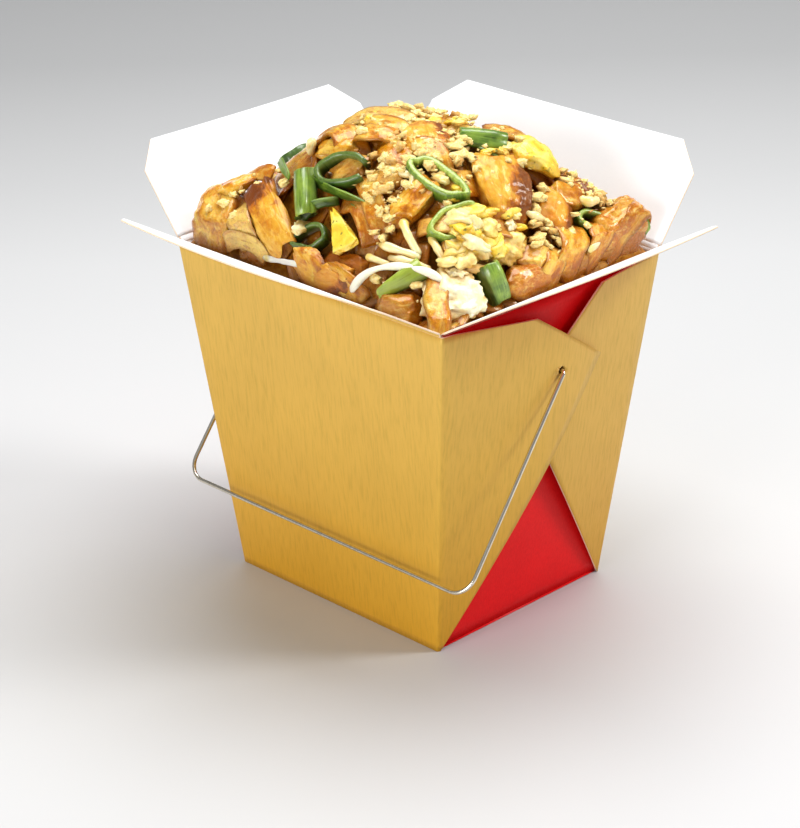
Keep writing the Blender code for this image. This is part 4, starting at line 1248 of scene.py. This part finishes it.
def make_strands(heights, material):
    """The noodles: loose strands laid over one another, and the wide ones that show whole."""
    shown, loose = Batch(), Batch()
    for index, (places, width, thickness, roll, tone) in enumerate(STRANDS):
        path, ups = dome_path(places)
        rolls = np.full(len(path), math.radians(roll))
        points, *rest = strip(path, ups, width, thickness, rolls, 0.16, index + 1.0, 18)
        heights.keep_clear(inside_walls(points), 1.0)
        shown.add(points, *rest, tone)
    draw = random.Random(11)
    for _ in range(STRAND_TRIES):
        made = loose_strand(heights, draw)
        if made:
            points, *rest = made
            heights.raise_to(inside_walls(points))
            loose.add(points, *rest, draw.random())
    for points in shown.points:
        heights.raise_to(points)
    loose.make("loose_noodles", material, "noodles")
    shown.make("wide_noodles", material, "noodles")


def near_edge(form, power):
    """How near each point of a block is to one of its edges."""
    return np.sort(np.abs(form), axis=1)[:, 1] ** power


def browned(form, direction, amount):
    """How brown each point of a block is: most on one side, and a little on its edges."""
    toward = form @ np.array(Vector(direction).normalized())
    return amount * np.clip((toward - 0.1) / 0.75, 0, 1) + 0.2 * near_edge(form, 3)


def make_toppings(heights):
    """The pieces that have solids of their own, laid in their places: name, kind and what a batch takes."""
    made = []

    def put(name, kind, sunk, place, turn, points, *rest):
        points = lay(points, place, turn)
        heights.keep_clear(points, sunk)
        made.append((name, kind, (points, *rest)))

    for seed, (name, (size, shape, place, turn, browning, tone)) in enumerate(CHICKEN.items(), 1):
        points, faces, grain, form = lump(size, rough=0.13, grainy=0.08, seed=seed,
                                          **{"roundness": 0.68, **shape})
        put(name, "chicken", size[2] * 0.5, place, turn, points, faces, grain, browned(form, *browning), tone)
    for name, (size, shape, place, turn, tone) in ONION.items():
        put(name, "onion", 2.0, place, turn, *leaf_ring(size, seed=len(name), **shape), tone)
    for seed, (name, (size, shape, place, turn, tone)) in enumerate(EGG.items(), 7):
        points, faces, grain, form = lump(size, seed=seed, **shape)
        put(name, "egg", size[2] * 0.5, place, turn, points, faces, grain, form[:, 2], tone)
    return made


def show_toppings(heights, made, looks):
    for name, kind, (points, *rest) in made:
        batch = Batch()
        batch.add(inside_walls(points), *rest)
        heights.raise_to(points)
        batch.make(name + "_piece", looks[kind], kind, name)


def make_masses(heights):
    """Folded noodles, and chicken besides the pieces that have solids of their own."""
    folds, chicken = Batch(), Batch()
    for seed, (size, place, turn, roundness, tone) in enumerate(FOLDS, 20):
        points, faces, grain, form = lump(size, cuts=20, roundness=roundness, rough=0.15, seed=seed)
        folds.add(inside_walls(lay(points, place, turn)), faces, grain, near_edge(form, 4), tone)
    for seed, (size, place, turn, browning, tone) in enumerate(MORE_CHICKEN, 60):
        points, faces, grain, form = lump(size, roundness=0.6, rough=0.22, grainy=0.07, seed=seed)
        chicken.add(inside_walls(lay(points, place, turn)), faces, grain, browned(form, *browning), tone)
    for batch, table in ((folds, FOLDS), (chicken, MORE_CHICKEN)):
        for points, (size, *_) in zip(batch.points, table):
            heights.keep_clear(points, size[2] * 0.4)
    return folds, chicken


def make_more_onion(heights, material):
    """Strips and rings of onion besides those that have solids of their own."""
    batch = Batch()
    for index, (places, width, roll, dark) in enumerate(LEAVES):
        path, ups = dome_path(places, 0.8)
        rolls = np.linspace(math.radians(roll), math.radians(roll + 25), len(path))
        points, faces, grain, edge = strip(path, ups, width, 0.9, rolls, 0.25, index + 40.0, 12)
        heights.raise_to(inside_walls(points))
        batch.add(points, faces, grain, dark * (1 - 0.35 * edge), 0.1)
    for index, (size, place, turn) in enumerate(RINGS):
        points, *rest = leaf_ring(size, seed=index + 50)
        points = inside_walls(lay(points, place, turn))
        heights.raise_to(points)
        batch.add(points, *rest, 0.15 * (index % 3))
    batch.make("onion_pieces", material, "onion")


def make_egg_bits(heights, material):
    """Shreds of scrambled egg round the large folds and on the crown."""
    draw = random.Random(21)
    batch = Batch()
    for x, y, spread, count, largest, tone in EGG_FALLS:
        for _ in range(count):
            place_x, place_y = draw.gauss(x, spread), draw.gauss(y, spread)
            if abs(place_x) > FOOD_EDGE_X - 3 or abs(place_y) > FOOD_EDGE_Y - 3:
                continue
            long = largest * draw.uniform(0.55, 1.0)
            size = (long, long * draw.uniform(0.5, 0.85), long * draw.uniform(0.35, 0.55))
            points, faces, grain, form = lump(size, cuts=8, rough=0.24, grainy=0.14, seed=draw.uniform(0, 90))
            z = heights.rest(place_x, place_y) + size[2] * 0.15
            placed = points @ tumble(draw, 0.35) + (place_x, place_y, z)
            heights.raise_to(placed)
            batch.add(placed, faces, grain, form[:, 2], min(1, max(0, draw.gauss(tone, 0.25))))
    batch.make("egg_shreds", material, "egg")


def make_sprouts(heights, material):
    """Bean sprouts. The first two are white, and most have a head."""
    sides = 12
    batch = Batch()
    for index, (places, radius) in enumerate(SPROUTS):
        path, _ = dome_path(places, 0.8)
        share = np.linspace(0, 1, len(path))
        bumps = np.array([noise.noise(Vector((s * 4, index * 3.3, 0))) for s in share])
        radii = radius * (0.66 + 0.26 * np.sin(share * math.pi) ** 0.5 + 0.5 * bumps)
        head = np.exp(-((share * len(path) - 2.2) / 1.7) ** 2) * (index % 3 != 0)
        radii *= 1 + 0.15 * head
        radii[0] *= 0.4
        radii[-1] *= 0.5
        points, faces, grain = tube(path, radii, sides, index)
        batch.add(inside_walls(points), faces, grain, np.repeat(head, sides), 1.0 if index < 2 else 0.3)
        heights.raise_to(points)
    batch.make("bean_sprouts", material, "noodles")


def make_peanuts(heights, material):
    """Chopped peanut, from crumbs to quarters, thickest where it fell."""
    draw = random.Random(5)
    batch = Batch()
    shapes = [lump((1, 1, 1), cuts=2, roundness=0.5, rough=0.34, grainy=0.0, seed=k)[:2] for k in range(12)]
    weights = [fall[3] for fall in PEANUT_FALLS]
    for _ in range(PEANUT_TRIES):
        if draw.random() < 0.92:
            x, y, spread, _ = draw.choices(PEANUT_FALLS, weights)[0]
            x, y = draw.gauss(x, spread), draw.gauss(y, spread)
        else:
            x, y = draw.uniform(-47, 47), draw.uniform(-40, 40)
        if abs(x) > FOOD_EDGE_X - 1.5 or abs(y) > FOOD_EDGE_Y - 1.5:
            continue
        size = 0.5 + 2.7 * draw.random() ** 2.2
        stretch = np.array([draw.uniform(0.9, 1.7), draw.uniform(0.7, 1.1), draw.uniform(0.45, 0.8)]) * size
        points, faces = draw.choice(shapes)
        z = heights.rest(x, y) + stretch[2] * 0.15
        placed = (points * stretch) @ tumble(draw, 0.5) + (x, y, z)
        heights.raise_to(placed[placed[:, 2] < z + 0.25 * stretch[2]])
        batch.add(placed, faces, points * size * 2 + draw.uniform(0, 50), 0.0, draw.random())
    batch.make("chopped_peanuts", material, "noodles")


def make_food():
    heights = Heights()
    make_core(core_sauce_and_shade())
    looks = {"noodles": noodle_glaze(), "chicken": fried_chicken(), "onion": onion_leaf(),
             "egg": cooked_egg()}
    toppings = make_toppings(heights)
    folds, more_chicken = make_masses(heights)
    make_strands(heights, looks["noodles"])
    for points in folds.points + more_chicken.points:
        heights.raise_to(points)
    folds.make("folded_noodles", looks["noodles"], "noodles")
    more_chicken.make("chicken_pieces", looks["chicken"], "chicken")
    show_toppings(heights, toppings, looks)
    make_more_onion(heights, looks["onion"])
    make_egg_bits(heights, looks["egg"])
    make_sprouts(heights, bean_sprout())
    make_peanuts(heights, chopped_peanut())
    mark_painted_gap_shade(heights)


# ---------------------------------------------------------------- stage

VIEW_YAW, VIEW_PITCH, VIEW_ROLL = (math.radians(value) for value in (45.87, 24.13, -1.05))
CAMERA_PLACE = (0.4962, -0.5006, 0.3649)
CAMERA_LENS, CAMERA_SENSOR, CAMERA_SHIFT = 117.9, 36.0, (0.036, -0.0014)
FLOOR_BACK, FLOOR_CURVE, FLOOR_WIDTH, FLOOR_TOP = 1.1, 0.5, 4.0, 3.0

# Soft lights that face the middle of the box: place, size, power
LIGHT_TARGET = Vector((0, 0, 0.06))
LIGHTS = {
    "overhead": ((-0.09, 0.17, 0.95), 0.8, 11),
    "front": ((0.1, -1.35, 0.36), 0.7, 12),
    "side": ((0.74, 0.62, 0.80), 0.35, 7.6),
}
SKY_COLOUR, SKY_STRENGTH = (0.93, 0.96, 1.0, 1), 0.32


def make_camera():
    """A long lens from above the front right edge."""
    ahead = Vector((-math.sin(VIEW_YAW) * math.cos(VIEW_PITCH), math.cos(VIEW_YAW) * math.cos(VIEW_PITCH),
                    -math.sin(VIEW_PITCH)))
    right = Vector((math.cos(VIEW_YAW), math.sin(VIEW_YAW), 0))
    axes = Matrix((right, right.cross(ahead), -ahead)).transposed() @ Matrix.Rotation(VIEW_ROLL, 3, "Z")
    data = bpy.data.cameras.new("camera")
    data.sensor_fit = "VERTICAL"
    data.sensor_width = data.sensor_height = CAMERA_SENSOR
    data.lens = CAMERA_LENS
    data.shift_x, data.shift_y = CAMERA_SHIFT
    data.clip_start, data.clip_end = 0.01, 20.0
    camera = make_object("camera", data)
    camera.matrix_world = Matrix.Translation(CAMERA_PLACE) @ axes.to_4x4()
    bpy.context.scene.camera = camera


def make_lights():
    for name, (place, size, power) in LIGHTS.items():
        data = bpy.data.lights.new(name, "AREA")
        data.shape = "DISK"
        data.size = size
        data.energy = power
        aim = (LIGHT_TARGET - Vector(place)).to_track_quat("-Z", "Y").to_matrix()
        make_object(name, data).matrix_world = Matrix.Translation(place) @ aim.to_4x4()
    world = bpy.data.worlds.new("studio")
    world.use_nodes = True
    background = world.node_tree.nodes["Background"]
    background.inputs["Color"].default_value = SKY_COLOUR
    background.inputs["Strength"].default_value = SKY_STRENGTH
    bpy.context.scene.world = world
    bpy.context.scene.view_settings.view_transform = "Standard"


def make_floor():
    """A pale floor that curves up into a backdrop, with painted shade that makes it darker further away."""
    shader = Shader("floor", Roughness=0.5, Specular_IOR_Level=0.2)
    source = shader.node("TexCoord").outputs["Object"]
    in_view = shader.node("Mapping", {"Vector": source, "Rotation": (0, 0, -VIEW_YAW)}).outputs["Vector"]
    depth = shader.node("SeparateXYZ", {"Vector": in_view}).outputs["Y"]
    share = shader.math("ADD", shader.math("MULTIPLY", depth, 0.8), 0.5)
    # Painted shade: the colour darkens with distance along the view, standing in for light falling off.
    pale = shader.ramp(share, (0.60, 0.58), (0.70, 0.55), (0.775, 0.49), (0.91, 0.405))
    cloud = shader.noise(shader.place(), 0.004, detail=2.0)
    shader.surface(Base_Color=shader.mottle(0.1, pale, cloud, 0.95))
    away = Vector((-math.sin(VIEW_YAW), math.cos(VIEW_YAW), 0))
    side = Vector((away.y, -away.x, 0))
    profile = [(-3.0, 0.0), (FLOOR_BACK, 0.0)]
    profile += [(FLOOR_BACK + FLOOR_CURVE * math.sin(angle), FLOOR_CURVE * (1 - math.cos(angle)))
                for angle in np.linspace(0.1, 1.5, 12)]
    profile += [(FLOOR_BACK + FLOOR_CURVE, FLOOR_TOP)]
    rows = [[away * out + side * (FLOOR_WIDTH * k) + Vector((0, 0, up)) for k in (-1, 1)]
            for out, up in profile]
    floor = make_object("floor", grid_mesh(rows), [shader.material])
    floor.data.shade_smooth()


def main():
    make_camera()
    make_floor()
    make_lights()
    board = {"gold": gold_board(), "red": red_board(), "white": white_board(), "edge": cut_edge()}
    make_walls(board)
    make_base(board)
    for side_name in FLAPS:
        flap = Flap(side_name, board)
        make_flap(flap)
        make_crease(flap)
    make_bail(steel_wire())
    make_food()


main()
